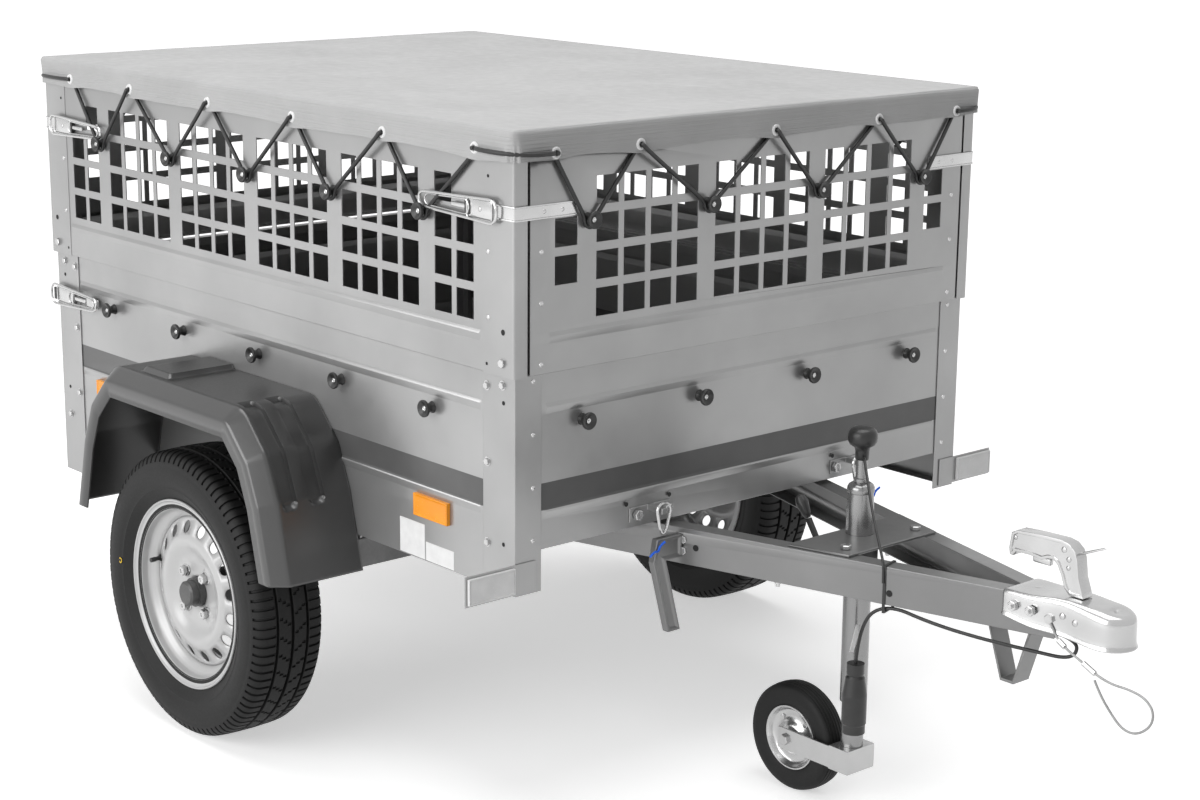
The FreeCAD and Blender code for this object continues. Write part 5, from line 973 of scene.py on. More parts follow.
# Strap: its end back from the corner, its end across the box, lift over the face.
# Bars: back from the corner, out from the face, length, height, rounding, taper, thickness.
# Blocks: start and stop back from the corner, near and far face, half height, rounding, its steps, whether the
# block is dark.
MESH_LATCH = {
    "strap": (0.052, 0.4325, 0.0009),
    "bars": ((0.137, 0.0105, 0.206, 0.040, 0.0160, 0.62, 0.0052),
             (0.167, 0.0085, 0.118, 0.026, 0.0115, 0.70, 0.0034),
             (0.080, 0.0078, 0.066, 0.034, 0.0060, 1.00, 0.0038)),
    "blocks": ((0.046, 0.114, 0.0005, 0.0072, 0.0165, 0.003, 3, False),
               (0.106, 0.120, 0.0006, 0.0088, 0.0125, 0.002, 2, True),
               (0.110, 0.158, 0.0020, 0.0075, 0.0040, 0.002, 3, False)),
}
GATE_LATCH = {
    "strap": (0.027, 0.4785, -0.0064),
    "bars": ((0.0875, 0.0104, 0.188, 0.044, 0.0180, 0.60, 0.0052),
             (0.116, 0.0084, 0.104, 0.026, 0.0115, 0.70, 0.0034),
             (0.047, 0.0078, 0.066, 0.034, 0.0060, 1.00, 0.0038)),
    "blocks": ((0.014, 0.080, 0.0006, 0.0072, 0.0165, 0.003, 3, False),
               (0.000, 0.011, 0.0034, 0.0090, 0.0130, 0.002, 3, True),
               (0.085, 0.130, 0.0020, 0.0076, 0.0042, 0.002, 3, False),
               (0.134, 0.180, 0.0012, 0.0076, 0.0105, 0.003, 3, False)),
}


def rounded_loop(wide, tall, corner, taper=1.0, count=5):
    """A rounded rectangle as (along, up) points; taper narrows its near end."""
    points = []
    for quarter, (right, top) in enumerate(((1, 1), (-1, 1), (-1, -1), (1, -1))):
        for step in range(count):
            angle = math.radians(90 * quarter + 90 * step / (count - 1))
            along = right * (wide / 2 - corner) + corner * math.cos(angle)
            up = top * (tall / 2 - corner) + corner * math.sin(angle)
            points.append((along, up * (taper + (1 - taper) * (0.5 + along / wide))))
    return points


def ring_round(shape, centre, along, up, loop, thick):
    """A round bar bent along a closed loop of (along, up) points."""
    centre, along, up = Vector(centre), Vector(along).normalized(), Vector(up).normalized()
    spots = [centre + along * a + up * u for a, u in loop]
    out = along.cross(up).normalized()
    rings = []
    for index, spot in enumerate(spots):
        run = (spots[(index + 1) % len(spots)] - spots[index - 1]).normalized()
        aside = run.cross(out).normalized()
        ring = []
        for step in range(8):
            angle = FULL_TURN * step / 8
            ring.append(spot + aside * (thick / 2 * math.cos(angle)) + out * (thick / 2 * math.sin(angle)))
        rings.append(ring)
    loops = skin(shape, rings, closed=True, caps=False)
    bmesh.ops.bridge_loops(shape, edges=loops[-1] + loops[0])


def strap(shape, corner_x, way, side, height, back, strap_end, lift):
    """A pressed strap with rolled edges, bent round a corner of the box."""
    face_y = side * (HALF_WIDTH + PROUD)
    bend_x = corner_x - way * STRAP_BEND
    path = [(corner_x - way * back, face_y, 0, side), (bend_x, face_y, 0, side),
            (bend_x + way * STRAP_BEND * 0.7, face_y - side * STRAP_BEND * 0.3, way * 0.7, side * 0.7),
            (corner_x, face_y - side * STRAP_BEND, way, 0), (corner_x, side * strap_end, way, 0)]
    rings = []
    for x, y, out_x, out_y in path:
        rings.append([(x + out_x * (lift + thick), y + out_y * (lift + thick), height + up)
                      for up, thick in STRAP_SECTION])
    skin(shape, rings)


def press_latch(shape, dark, latch, corner_x, way, side, face, height):
    """One latch beside a corner: its strap, wire bails, lever and hook."""
    strap(shape, corner_x, way, side, height, *latch["strap"])
    for back, out, wide, tall, corner, taper, thick in latch["bars"]:
        ring_round(shape, (corner_x - way * back, side * (face + out), height), (way, 0, 0), (0, 0, 1),
                   rounded_loop(wide, tall, corner, taper), thick)
    for start, stop, near, far, half, bend, steps, is_dark in latch["blocks"]:
        low_x, high_x = sorted((corner_x - way * start, corner_x - way * stop))
        low_y, high_y = sorted((side * (face + near), side * (face + far)))
        low, high = (low_x, low_y, height - half), (high_x, high_y, height + half)
        block(dark if is_dark else shape, low, high, bend, steps)


def add_mesh_latches(name, corner_x, way, stands_for):
    """Latches of the upper panels at one end of the bed, with their rivets."""
    shape, dark = bmesh.new(), bmesh.new()
    face = HALF_WIDTH + PROUD
    for side in (-1, 1):
        press_latch(shape, dark, MESH_LATCH, corner_x, way, side, face, MESH_LATCH_HEIGHT)
        rivets = [((corner_x - way * 0.080, side * (face + 0.0070)), (0, side, 0))]
        rivets += [((corner_x + way * 0.0012, side * across), (way, 0, 0)) for across in (0.462, 0.500)]
        for place, axis in rivets:
            lathe(shape, (*place, MESH_LATCH_HEIGHT), axis, dome(0.0042, 0.0022), 16)
    finish_piece(name, shape, bright_zinc, "bed", stands_for, 40)
    finish_piece(name + "_hooks", dark, black_plastic, "bed", (), 40)


add_mesh_latches("front_mesh_latches", FRONT + PROUD, 1, ["mesh_latches"])
add_mesh_latches("rear_mesh_latches", REAR - PROUD, -1, ())


def add_gate_latches():
    """The latch on each side of the gate."""
    shape, dark = bmesh.new(), bmesh.new()
    for side in (-1, 1):
        press_latch(shape, dark, GATE_LATCH, REAR - PROUD, -1, side, HALF_WIDTH, GATE_LATCH_HEIGHT)
    finish_piece("gate_latch_pressings", shape, bright_zinc, "tailgate", ["tailgate_latches"],
                 40)
    finish_piece("gate_latch_hooks", dark, black_plastic, "tailgate", (), 40)


add_gate_latches()


# Labels and lamp lenses

LABEL_FACE = -(HALF_WIDTH - 0.0025)
LABELS = ((-0.3236, -0.2514, 0.5116), (-0.2480, -0.1686, 0.4820))
LABEL_FOOT = 0.4486
LENS_THICK = 0.003
RIB_HALF = 0.0012
RIB_PROUD = 0.0006


def add_plates(name, boxes, material, bevel, segments=3):
    """Plates on the bed with rounded edges, between pairs of corners."""
    shape = bmesh.new()
    for first, second in boxes:
        low, high = zip(*(sorted(ends) for ends in zip(first, second)))
        block(shape, low, high, bevel, segments)
    finish_piece(name, shape, material, "bed", (), 40)


blank_labels = [((FRONT + back, LABEL_FACE - 0.0006, LABEL_FOOT), (FRONT + front, LABEL_FACE + 0.0002, top))
                for back, front, top in LABELS]
add_plates("blank_labels", blank_labels, white_plastic, 0.0002, segments=1)


def add_lamp_lenses():
    """Amber and clear sections of the rear lamps, and the ribs between the sections."""
    low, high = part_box("rear_lamps")
    rear, foot, top = low[0] + 0.0016, low[2], high[2] - 0.010

    def lens(side, start, stop, bottom, up, proud=0.0):
        """Two corners of a part that starts and stops at distances from the outer end of a lamp."""
        return ((rear - proud, side * (high[1] - start), bottom),
                (rear + LENS_THICK, side * (high[1] - stop), up))

    amber_parts, clear_parts, ribs = [], [], []
    for side in (-1, 1):
        amber_parts.append(lens(side, 0.010, 0.092, foot + 0.072, top))
        clear_parts.append(lens(side, 0.180, 0.130, foot + 0.072, top))
        for across in (0.094, 0.127):
            ribs.append(lens(side, across - RIB_HALF, across + RIB_HALF, foot + 0.010, top, RIB_PROUD))
        ribs.append(lens(side, 0.010, 0.180, foot + 0.0675, foot + 0.070, RIB_PROUD))
    add_plates("rear_lamp_amber", amber_parts, amber, 0.0008)
    add_plates("rear_lamp_clear", clear_parts, white_reflector, 0.0008)
    add_plates("rear_lamp_ribs", ribs, lamp_red, 0.0004)


add_lamp_lenses()


# Mudguards

# The arch as (forward of the axle, up from it).
GUARD = [(-0.364, 0.106), (-0.328, 0.251), (-0.293, 0.334), (-0.222, 0.406), (0.222, 0.406), (0.293, 0.334),
         (0.328, 0.251), (0.364, 0.106)]
# Places across the guard, and how far the arch is drawn in at the chamfered edge.
GUARD_FLAT = (0.5516, 0.5560, 0.6045, 0.6075, 0.6100, 0.6140, 0.6190, 0.6240, 0.6300, 0.6345, 0.6385, 0.6410,
              0.6440, 0.6635, 0.6665, 0.6690, 0.6730, 0.6775, 0.6825, 0.6875, 0.6915, 0.6955, 0.6985, 0.7010,
              0.7070)
GUARD_EDGE = ((0.7100, 0.0010), (0.7130, 0.0035), (0.7345, 0.0200), (0.7370, 0.0225), (0.7383, 0.0260),
              (0.7383, 0.0550))
GUARD_STATIONS = [(out, 0.0) for out in GUARD_FLAT] + list(GUARD_EDGE)
GUARD_BEND = 0.050
GUARD_WALL = 0.0035
GUARD_CELL = 0.004
CHANNELS = ((0.6075, 0.6410), (0.6665, 0.6985))
CHANNEL_DEEP = 0.0085
CHANNEL_FOOT = 0.236
PAD_TALL = 0.009
PAD_REAR = (-0.150, -0.142)
PAD_FRONT = (-0.056, -0.050)
PAD_SIDE = (0.690, 0.696)


def inset_line(points, amount):
    """The arch moved inwards by an amount, its feet kept at their height."""
    spots = [Vector(place) for place in points]
    moved = []
    for start, stop in zip(spots, spots[1:]):
        run = (stop - start).normalized()
        aside = Vector((run.y, -run.x)) * amount
        moved.append((start + aside, stop + aside))
    first, last = moved[0], moved[-1]
    made = [line_meet(first, (Vector((-1, spots[0].y)), Vector((1, spots[0].y))))]
    made += [line_meet(one, two) for one, two in zip(moved, moved[1:])]
    made.append(line_meet(last, (Vector((-1, spots[-1].y)), Vector((1, spots[-1].y)))))
    return made


def line_meet(one, two):
    """Where two straight lines in a plane meet."""
    (x1, z1), (x2, z2) = one
    (x3, z3), (x4, z4) = two
    cross = (x1 - x2) * (z3 - z4) - (z1 - z2) * (x3 - x4)
    first, second = x1 * z2 - z1 * x2, x3 * z4 - z3 * x4
    return Vector(((first * (x3 - x4) - (x1 - x2) * second) / cross,
                   (first * (z3 - z4) - (z1 - z2) * second) / cross))


ARCH_STEPS = 5


def rounded_line(points, radius, counts):
    """Fine points along a bent line whose corners are rounded, with a set number on each straight."""
    line = []
    for before, corner, after in zip(points, points[1:], points[2:]):
        back, on = (before - corner).normalized(), (after - corner).normalized()
        short = radius * math.tan((math.pi - back.angle(on)) / 2)
        line.append((corner + back * short, corner, corner + on * short))
    fine = []
    start = points[0]
    for bend, count in zip(line, counts):
        enter, corner, leave = bend
        fine += [start.lerp(enter, k / count) for k in range(count)]
        for k in range(ARCH_STEPS):
            share = k / ARCH_STEPS
            fine.append(enter * (1 - share) ** 2 + corner * 2 * share * (1 - share) + leave * share ** 2)
        start = leave
    fine += [start.lerp(points[-1], k / counts[-1]) for k in range(counts[-1] + 1)]
    return fine


def ramp(value, start, stop):
    """0 before a start, 1 past a stop, and a straight rise between them."""
    return max(0.0, min(1.0, (value - start) / (stop - start)))


def channel(out, spot, low, high):
    """Share of the full depth of a channel at a place on the guard; the lower end is rounded."""
    across = ramp(out, low - 0.0001, low + 0.0024) * (1 - ramp(out, high - 0.0024, high + 0.0001))
    foot = CHANNEL_FOOT + 0.014 * abs(2 * (out - (low + high) / 2) / (high - low)) ** 4
    return across * ramp(spot.x, 0.188, 0.194) * ramp(spot.y, foot, foot + 0.006)


def pad(out, spot):
    """Share of the full height of the raised pad at a place on the guard."""
    along = ramp(spot.x, *PAD_REAR) * (1 - ramp(spot.x, *PAD_FRONT))
    return along * (1 - ramp(out, *PAD_SIDE)) * ramp(spot.y, 0.404, 0.4055)


def add_guard(hand, side):
    """Moulded guard with rounded bends, two sunk channels down its front slope and a raised pad on top."""
    counts = [round(math.dist(start, stop) / GUARD_CELL) for start, stop in zip(GUARD, GUARD[1:])]
    rings = []
    for out, shrink in GUARD_STATIONS:
        line = rounded_line(inset_line(GUARD, shrink), max(0.008, GUARD_BEND - shrink), counts)
        ring = []
        for index, spot in enumerate(line):
            run = line[min(index + 1, len(line) - 1)] - line[max(index - 1, 0)]
            normal = Vector((-run.y, run.x)).normalized()
            sunk = max(channel(out, spot, low, high) for low, high in CHANNELS)
            place = spot - normal * (CHANNEL_DEEP * sunk) + Vector((0, PAD_TALL * pad(out, spot)))
            ring.append((AXLE + place.x, side * out, WHEEL_HEIGHT + place.y))
        rings.append(ring)
    shape = bmesh.new()
    skin(shape, rings, closed=False, caps=False)
    bmesh.ops.recalc_face_normals(shape, faces=shape.faces)
    highest = max(shape.faces, key=lambda face: face.calc_center_median().z)
    if highest.normal.z < 0:
        bmesh.ops.reverse_faces(shape, faces=shape.faces)
    made = finish_piece(f"{hand}_mudguard", shape, guard_plastic, "bed", [f"mudguard_{hand}"],
                        50)
    thicken(made, GUARD_WALL)


for hand, side in SIDES:
    add_guard(hand, side)


# Coupling

BALL = FRONT + 0.797  # middle of the ball that the nose takes
# Each row: ahead, half widths of the roof and the skirt, heights of the roof and the skirt's foot.
COUPLING = [(0.615, 0.0425, 0.0460, 0.5112, 0.4690), (0.640, 0.0425, 0.0460, 0.5114, 0.4660),
            (0.672, 0.0405, 0.0450, 0.5122, 0.4610), (0.695, 0.0350, 0.0405, 0.5150, 0.4600),
            (0.712, 0.0320, 0.0375, 0.5172, 0.4600), (0.740, 0.0300, 0.0370, 0.5180, 0.4588),
            (0.765, 0.0290, 0.0385, 0.5165, 0.4575), (0.785, 0.0285, 0.0398, 0.5155, 0.4560),
            (0.797, 0.0283, 0.0400, 0.5148, 0.4556)]


def coupling_ring(ahead, roof_half, skirt_half, roof, foot):
    """One cross section of the pressed coupling, from the right foot over the roof to the left foot."""
    waist = roof - 0.014
    right = [(-skirt_half - 0.0035, foot), (-skirt_half - 0.0015, foot + 0.003), (-skirt_half, foot + 0.006),
             (-skirt_half + 0.0008, (foot + waist) / 2), (-skirt_half, waist),
             (-(skirt_half + roof_half) / 2 - 0.0012, roof - 0.0042), (-roof_half - 0.0012, roof - 0.0008),
             (-roof_half + 0.004, roof), (-roof_half / 2, roof + 0.0002)]
    return [(FRONT + ahead, y, z) for y, z in right + [(0, roof)] + [(-y, z) for y, z in right[::-1]]]


def add_coupling():
    """Pressed coupling: a flat roof, a narrow waist and a round nose with a rolled lip."""
    shape = bmesh.new()
    rings = [coupling_ring(*row) for row in COUPLING]
    nose = []
    for step in range(13):
        angle = math.radians(-90 + 15 * step)
        spots = []
        for index, (x, y, z) in enumerate(rings[-1][:10]):
            reach = abs(y) * (1.0 + 0.02 * math.cos(angle))
            sink = 0.0050 * math.cos(angle) if index > 4 else 0
            spots.append((BALL + reach * math.cos(angle), reach * math.sin(angle), z - sink))
        nose.append(spots)
    skin(shape, rings, closed=False, caps=False)
    skin(shape, nose, closed=False, caps=False)
    bmesh.ops.remove_doubles(shape, verts=shape.verts, dist=0.0002)
    made = finish_piece("coupling_pressing", shape, bright_zinc, "drawbar", ["coupling"], 42)
    thicken(made, 0.003)
    smooth = made.modifiers.new("roundness", "SUBSURF")
    smooth.levels = smooth.render_levels = 1


def on_coupling(out, places):
    """Places ahead of the front board, on both flanks of the coupling."""
    return [((FRONT + ahead, side * out, up), (0, side, 0)) for side in (-1, 1) for ahead, up in places]


add_coupling()
coupling_bolts = on_coupling(0.0462, ((0.641, 0.489), (0.676, 0.489)))
fasten("coupling_nuts", coupling_bolts, nut(0.0088, 0.0080), bright_zinc, "drawbar", 6)
coupling_stud = [(0.007, 0.0042), (0.0122, 0.0042), (0.0130, 0.0034), (0.0130, 0.0)]
fasten("coupling_studs", coupling_bolts, coupling_stud, bright_zinc, "drawbar")
coupling_rivets = on_coupling(0.0372, ((0.730, 0.492), (0.755, 0.487)))
fasten("coupling_rivets", coupling_rivets, dome(0.0055, 0.0030), bright_zinc, "drawbar")
roof_stud = [((FRONT + 0.652, 0.0, 0.5113), (0, 0, 1))]
fasten("coupling_roof_stud", roof_stud, dome(0.0060, 0.0012), bright_zinc, "drawbar")

HANDLE_HALF = 0.0127
# Outline of the handle: ahead of the front board, up.
HANDLE_SIDE = [(0.598, 0.5690), (0.600, 0.5585), (0.606, 0.5570), (0.612, 0.5650), (0.640, 0.5660),
               (0.664, 0.5640), (0.676, 0.5690), (0.686, 0.5700), (0.695, 0.5640), (0.704, 0.5480),
               (0.712, 0.5280), (0.7215, 0.5190), (0.749, 0.5190), (0.746, 0.5290), (0.738, 0.5500),
               (0.7335, 0.5800), (0.7280, 0.5930), (0.716, 0.6020), (0.700, 0.6050), (0.650, 0.6035),
               (0.612, 0.6010), (0.602, 0.5950)]
# Pressed marks on the handle: ahead of the front board, height, radius.
HANDLE_MARKS = ((0.706, 0.590, 0.0052), (0.716, 0.576, 0.0046), (0.716, 0.562, 0.0040), (0.609, 0.588, 0.0040))
HANDLE_PIN = [(0, 0.0), (0, 0.0022), (0.050, 0.0019), (0.056, 0.0007), (0.057, 0.0)]


def add_handle():
    """Lifting handle pressed from sheet, with sunk sides and a release pin."""
    shape, marks, trigger, pin = (bmesh.new() for part in range(4))
    outline = [(FRONT + ahead, -HANDLE_HALF, up) for ahead, up in HANDLE_SIDE]
    plate(shape, outline, (0, 2 * HANDLE_HALF, 0))
    bmesh.ops.recalc_face_normals(shape, faces=shape.faces)
    press_in(shape, [face for face in shape.faces if abs(face.normal.y) > 0.9], 0.0045, 0.0012, -0.0022)
    edges = [edge for edge in shape.edges if len(edge.link_faces) == 2 and edge.calc_face_angle(0) > 1.2
             and min(abs(spot.co.y) for spot in edge.verts) > 0.0125]
    round_edges(shape, edges, 0.0022, 3, clamp_overlap=True)
    for side in (-1, 1):
        for ahead, up, radius in HANDLE_MARKS:
            lathe(marks, (FRONT + ahead, side * 0.0106, up), (0, side, 0), dome(radius, 0.0018), 16)
    block(trigger, (FRONT + 0.640, -0.005, 0.5535), (FRONT + 0.676, 0.005, 0.5665), 0.003, 3)
    lathe(pin, (FRONT + 0.730, 0, 0.587), (0.050, 0, 0.021), HANDLE_PIN, 12)
    for part, made, stands_for in (("pressing", shape, ["coupling_handle"]), ("pressed_marks", marks, ()),
                                   ("trigger", trigger, ()), ("pin", pin, ())):
        finish_piece(f"handle_{part}", made, bright_zinc, "drawbar", stands_for, 40)


add_handle()


# Jockey wheel: sections as (height, radius) round the tube, or (across, radius) round the wheel's axle

TUBE_SHELL = [(0.2052, 0.0205), (0.2052, 0.0238), (0.2060, 0.0240), (0.4980, 0.0240), (0.5000, 0.0240),
              (0.5420, 0.0238), (0.5700, 0.0232), (0.5850, 0.0222), (0.5860, 0.0236), (0.5905, 0.0240),
              (0.5950, 0.0236), (0.5990, 0.0214), (0.6020, 0.0170), (0.6030, 0.0120), (0.6032, 0.0080),
              (0.6432, 0.0080)]
TUBE_COLLAR = [(0.6030, 0.0), (0.6030, 0.0125), (0.6050, 0.0130), (0.6100, 0.0130), (0.6115, 0.0100),
               (0.6430, 0.0100), (0.6430, 0.0)]
GRIP_SECTION = [(0.6433, 0.0), (0.6433, 0.0112), (0.6440, 0.0118), (0.6580, 0.0122), (0.6640, 0.0132),
                (0.6675, 0.0180), (0.6705, 0.0225), (0.6760, 0.0252), (0.6820, 0.0260), (0.6885, 0.0256),
                (0.6945, 0.0232), (0.6985, 0.0190), (0.7000, 0.0130), (0.7004, 0.0)]
JOCKEY_WHEEL = (JOCKEY - 0.130, 0, 0.100)
JOCKEY_NUTS = 0.0405
JOCKEY_TYRE_HALF = [(0.0200, 0.0603), (0.0215, 0.0620), (0.0232, 0.0680), (0.0246, 0.0760), (0.0250, 0.0840),
                    (0.0243, 0.0900), (0.0222, 0.0945), (0.0190, 0.0972), (0.0175, 0.0980), (0.0168, 0.0968),
                    (0.0158, 0.0968), (0.0150, 0.0985), (0.0110, 0.0993), (0.0102, 0.0980), (0.0092, 0.0980),
                    (0.0084, 0.0995), (0.0040, 0.1000), (0.0034, 0.0986), (0.0024, 0.0986), (0.0016, 0.1000)]
JOCKEY_DISC_HALF = [(0.0215, 0.0600), (0.0228, 0.0592), (0.0228, 0.0570), (0.0205, 0.0545), (0.0140, 0.0520),
                    (0.0112, 0.0480), (0.0108, 0.0400), (0.0118, 0.0340), (0.0150, 0.0280), (0.0190, 0.0235),
                    (0.0200, 0.0210), (0.0200, 0.0075)]


def both_halves(half):
    """A section mirrored to the other side of the wheel."""
    return half + [(-across, radius) for across, radius in half[::-1]]


def add_jockey():
    """Bright housing with a rolled shoulder, and a crank knob."""
    tube, grip = bmesh.new(), bmesh.new()
    lathe(tube, (JOCKEY, 0, 0), (0, 0, 1), TUBE_SHELL, 48)
    lathe(tube, (JOCKEY, 0, 0), (0, 0, 1), TUBE_COLLAR, 32)
    finish_piece("jockey_housing", tube, jockey_zinc, "drawbar", ["jockey_tube"], 35)
    lathe(grip, (JOCKEY, 0, 0), (0, 0, 1), GRIP_SECTION, 40)
    finish_piece("crank_grip", grip, black_plastic, "drawbar", ["crank_knob"], 50)


def add_jockey_wheel():
    """Ribbed solid tyre on a dished wheel made of two riveted halves."""
    tyre, disc = bmesh.new(), bmesh.new()
    lathe(tyre, JOCKEY_WHEEL, (0, -1, 0), both_halves(JOCKEY_TYRE_HALF), 72)
    finish_piece("jockey_tyre_ribbed", tyre, tyre_rubber, "jockey_wheel", ["jockey_tyre"], 35)
    lathe(disc, JOCKEY_WHEEL, (0, -1, 0), both_halves(JOCKEY_DISC_HALF), 64, True)
    for side in (-1, 1):
        for angle in BOLT_ANGLES:
            along, up = JOCKEY_NUTS * math.cos(angle), JOCKEY_NUTS * math.sin(angle)
            at = Vector(JOCKEY_WHEEL) + Vector((along, side * 0.0106, up))
            lathe(disc, at, (0, side, 0), nut(0.0052, 0.0040), 6)
    finish_piece("jockey_wheel_disc", disc, bright_zinc, "jockey_wheel", ["jockey_rim"], 35)


add_jockey()
add_jockey_wheel()
axle_ends = [((JOCKEY_WHEEL[0], side * 0.0345, JOCKEY_WHEEL[2]), (0, side, 0)) for side in (-1, 1)]
fasten("jockey_axle_nuts", axle_ends, nut(0.0105, 0.0065), bright_zinc, "jockey_fork", 6)
wire_foot = [((FRONT + 0.7065, -0.0368, 0.4815), (0, -1, 0))]
fasten("wire_foot", wire_foot, nut(0.0085, 0.0062), bright_zinc, "drawbar", 6)


# Drawbar details

RAIL_ANGLE = math.radians(15.7)
RAILS_MEET = 0.700
RAIL_AT_NOSE = 0.017


def on_rails(places):
    """Place and direction on the outer face of both rails: ahead of the front board, height."""
    made = []
    for side in (-1, 1):
        out = Vector((math.sin(RAIL_ANGLE), side * math.cos(RAIL_ANGLE), 0))
        for ahead, up in places:
            face = RAIL_AT_NOSE + (RAILS_MEET - ahead) * math.tan(RAIL_ANGLE)
            made.append(((FRONT + ahead, side * face, up), out))
    return made


def both_sides(ahead, across, up, axis):
    return [((FRONT + ahead, side * across, up), axis) for side in (-1, 1)]


# Dark discs paint the shade inside the holes in the rails.
rail_holes = on_rails(((0.060, 0.474), (0.420, 0.462)))
fasten("rail_holes", rail_holes, hole(0.0058), painted_hole_shade, "drawbar", 20)
clamp_bolts = on_rails(((0.036, 0.486), (0.036, 0.466)))
fasten("clamp_bolts", clamp_bolts, nut(0.0075, 0.0055), bright_zinc, "drawbar", 6)
nipple = [(0, 0.0060), (0.006, 0.0060), (0.007, 0.0040), (0.012, 0.0036), (0.013, 0.0)]
fasten("rail_grease_nipples", both_sides(0.205, 0.139, 0.4410, (0, 0, -1)), nipple, bright_zinc, "drawbar")
plate_bolts = both_sides(0.312, 0.088, 0.5130, (0, 0, 1))
fasten("cross_plate_bolts", plate_bolts, nut(0.0095, 0.0065), bright_zinc, "drawbar", 6)

CRANK_TIE_THICK = 0.0048
CLAMP_TIE_THICK = 0.0042
TAG_TILT = math.radians(-18)


def add_crank_tie():
    """Black tie from a loop on the crank stem down to the rail."""
    low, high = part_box("cable_tie")
    top = Vector(((low[0] + high[0]) / 2 + 0.004, low[1] - 0.0005, 0.509))
    stem = Vector((JOCKEY + 0.0125, -0.0090, 0.650))
    points = [stem, stem.lerp(top, 0.08), stem.lerp(top, 0.5) + Vector((0.002, -0.006, 0)),
              stem.lerp(top, 0.93), top, top - Vector((0, 0, 0.030))]
    tie = smooth_cord("crank_tie", points, CRANK_TIE_THICK, black_plastic, "drawbar")
    shape = bmesh.new()
    lathe(shape, (JOCKEY, 0, 0.6466), (0, 0, 1), [(0, 0.0), (0, 0.0118), (0.005, 0.0118), (0.005, 0.0)], 32)
    finish_piece("crank_tie_loop", shape, black_plastic, "drawbar", (), 40)


def add_cable_tag():
    """Bare tag that hangs from the cable."""
    tag = bmesh.new()
    back, top = FRONT + 0.372, 0.399
    block(tag, (back, -0.1215, 0.352), (back + 0.0008, -0.1105, top), 0.0003, 1)
    bmesh.ops.rotate(tag, verts=tag.verts, cent=(back, -0.116, top), matrix=Matrix.Rotation(TAG_TILT, 3, "X"))
    finish_piece("cable_tag", tag, white_plastic, "drawbar", (), 40)


def add_clamp_tie(hand, side):
    """A blue tie round a toggle clamp."""
    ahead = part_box("toggle_clamps")[1][0] + 0.0022
    middle = side * 0.2740
    points = [(ahead, middle - 0.0115, 0.470), (ahead + 0.003, middle - 0.004, 0.480),
              (ahead + 0.002, middle + 0.006, 0.476), (ahead, middle + 0.0115, 0.487),
              (ahead + 0.004, middle + 0.020, 0.493)]
    smooth_cord(f"clamp_tie_{hand}", points, CLAMP_TIE_THICK, blue_tie, "drawbar")


add_crank_tie()
add_cable_tag()
for hand, side in SIDES:
    add_clamp_tie(hand, side)


def add_hook_links():
    """Pear-shaped links that the toggle clamps pull on, with their bolts, and dark discs that paint the shade
    inside the holes.
    """
    shape = bmesh.new()
    for side in (-1, 1):
        ring_round(shape, (0.3870, side * 0.2465, 0.5306), (0, 0, 1), (0, 1, 0),
                   rounded_loop(0.054, 0.036, 0.0165, 0.34), 0.0058)
    finish_piece("hook_links", shape, bright_zinc, "bed", ["hook_rings"], 40)
    forward = (1, 0, 0)
    bolts = both_sides(0.0015, 0.2831, 0.5378, forward) + both_sides(0.0015, 0.2135, 0.5378, forward)
    fasten("hook_bolts", bolts, nut(0.0098, 0.0085), bright_zinc, "bed", 6)
    # Dark discs paint the shade inside the holes beside the bolts.
    holes = both_sides(0.0002, 0.307, 0.5600, forward) + both_sides(0.0002, 0.2065, 0.5600, forward)
    fasten("hook_holes", holes, hole(0.0042), painted_hole_shade, "bed")


add_hook_links()


# Light and floor

WORLD_LIGHT = 0.17
FLOOR_SIZE = 40
FLOOR_DROP = 0.0006
FLOOR_GLOW = (0.52, 0.95)
GLOW_REACH = (2.2, 6.5)


def add_light(name, place, target, width, height, power):
    """A soft panel of light turned to a point."""
    lamp = bpy.data.lights.new(name, "AREA")
    lamp.shape = "RECTANGLE"
    lamp.size = width
    lamp.size_y = height
    lamp.energy = power
    made = bpy.data.objects.new(name, lamp)
    made.location = place
    made.rotation_mode = "QUATERNION"
    made.rotation_quaternion = (Vector(target) - Vector(place)).to_track_quat("-Z", "Y")
    bpy.context.scene.collection.objects.link(made)


add_light("side_panel", (-0.6, -6.5, 3.0), (-0.4, 0, 0.7), 7.0, 4.0, 320)
add_light("top_panel", (-0.2, 0.0, 5.5), (-0.2, 0, 0), 5.0, 5.0, 212)


def seen_directly(tree):
    """1 for rays from the camera and for those that a gloss or glass sends on."""
    path = tree.nodes.new("ShaderNodeLightPath")
    share = path.outputs["Is Camera Ray"]
    for name in ("Is Glossy Ray", "Is Transmission Ray"):
        most = add_node(tree, "ShaderNodeMath")
        most.operation = "MAXIMUM"
        tree.links.new(share, most.inputs[0])
        tree.links.new(path.outputs[name], most.inputs[1])
        share = most.outputs[0]
    return share


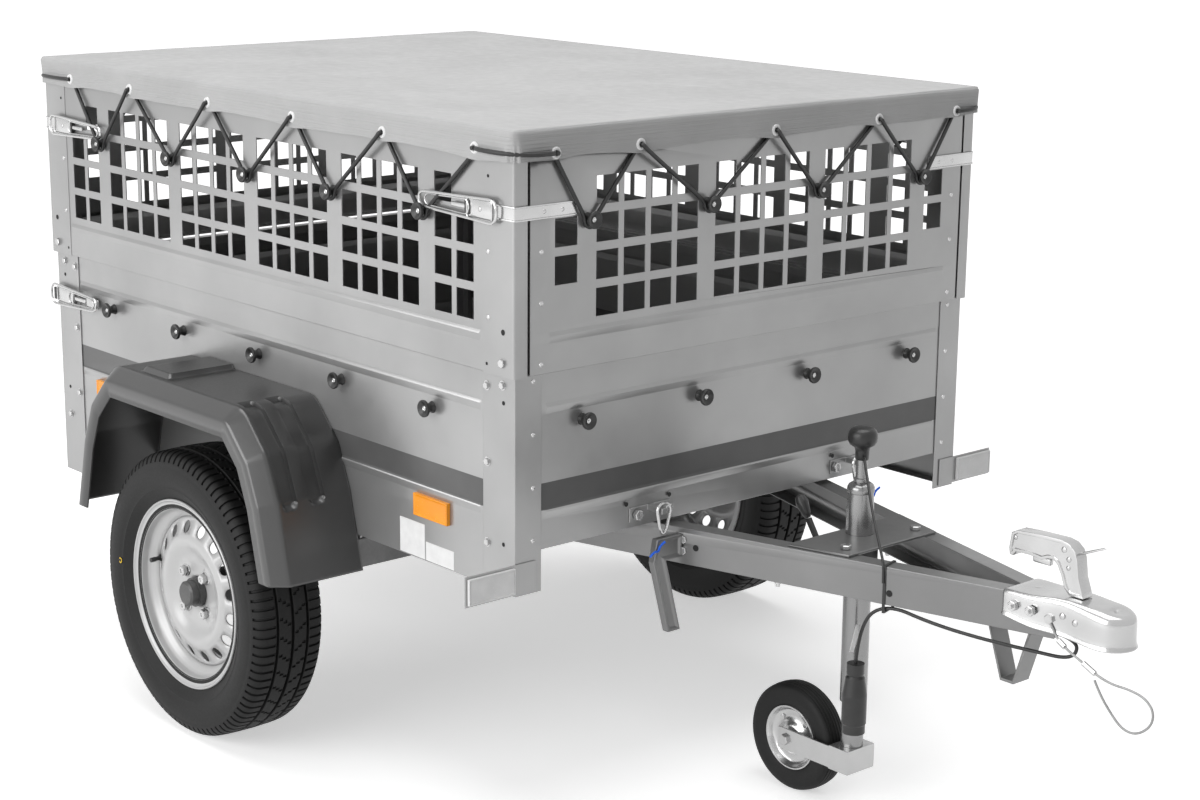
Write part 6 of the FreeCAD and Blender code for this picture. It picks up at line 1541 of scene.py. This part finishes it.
def add_world():
    """Soft grey light all round, white behind the object."""
    sky = bpy.data.worlds.new("studio")
    bpy.context.scene.world = sky
    sky.use_nodes = True
    tree = sky.node_tree
    back = tree.nodes["Background"]
    back.inputs["Color"].default_value = (1, 1, 1, 1)
    back.inputs["Strength"].default_value = WORLD_LIGHT
    seen = add_node(tree, "ShaderNodeBackground", Color=(1, 1, 1, 1), Strength=1.0)
    chosen = add_node(tree, "ShaderNodeMixShader", Fac=seen_directly(tree))
    tree.links.new(back.outputs["Background"], chosen.inputs[1])
    tree.links.new(seen.outputs["Background"], chosen.inputs[2])
    tree.links.new(chosen.outputs["Shader"], tree.nodes["World Output"].inputs["Surface"])


add_world()


def add_floor():
    """A pale studio floor that looks white to the camera and keeps the object's shadow."""
    shape = bmesh.new()
    bmesh.ops.create_grid(shape, x_segments=2, y_segments=2, size=FLOOR_SIZE)
    bmesh.ops.translate(shape, verts=shape.verts, vec=(0, 0, -FLOOR_DROP))
    mesh = bpy.data.meshes.new("studio_floor")
    shape.to_mesh(mesh)
    shape.free()
    pale = worn("studio_floor", tint(243), tint(246), 0.0, 0.9, 2)
    tree = pale.node_tree
    shader = tree.nodes["Principled BSDF"]
    far = tree.nodes.new("ShaderNodeVectorMath")
    far.operation = "LENGTH"
    tree.links.new(object_place(tree), far.inputs[0])
    glow = add_node(tree, "ShaderNodeEmission", Color=(1, 1, 1, 1),
                    Strength=spread(tree, far.outputs["Value"], *FLOOR_GLOW, *GLOW_REACH))
    both = tree.nodes.new("ShaderNodeAddShader")
    tree.links.new(shader.outputs[0], both.inputs[0])
    tree.links.new(glow.outputs[0], both.inputs[1])
    chosen = add_node(tree, "ShaderNodeMixShader", Fac=seen_directly(tree))
    tree.links.new(shader.outputs[0], chosen.inputs[1])
    tree.links.new(both.outputs[0], chosen.inputs[2])
    tree.links.new(chosen.outputs[0], tree.nodes["Material Output"].inputs["Surface"])
    mesh.materials.append(pale)
    made = bpy.data.objects.new("studio_floor", mesh)
    bpy.context.scene.collection.objects.link(made)


add_floor()
bpy.context.scene.view_settings.view_transform = "Standard"
bpy.context.view_layer.update()
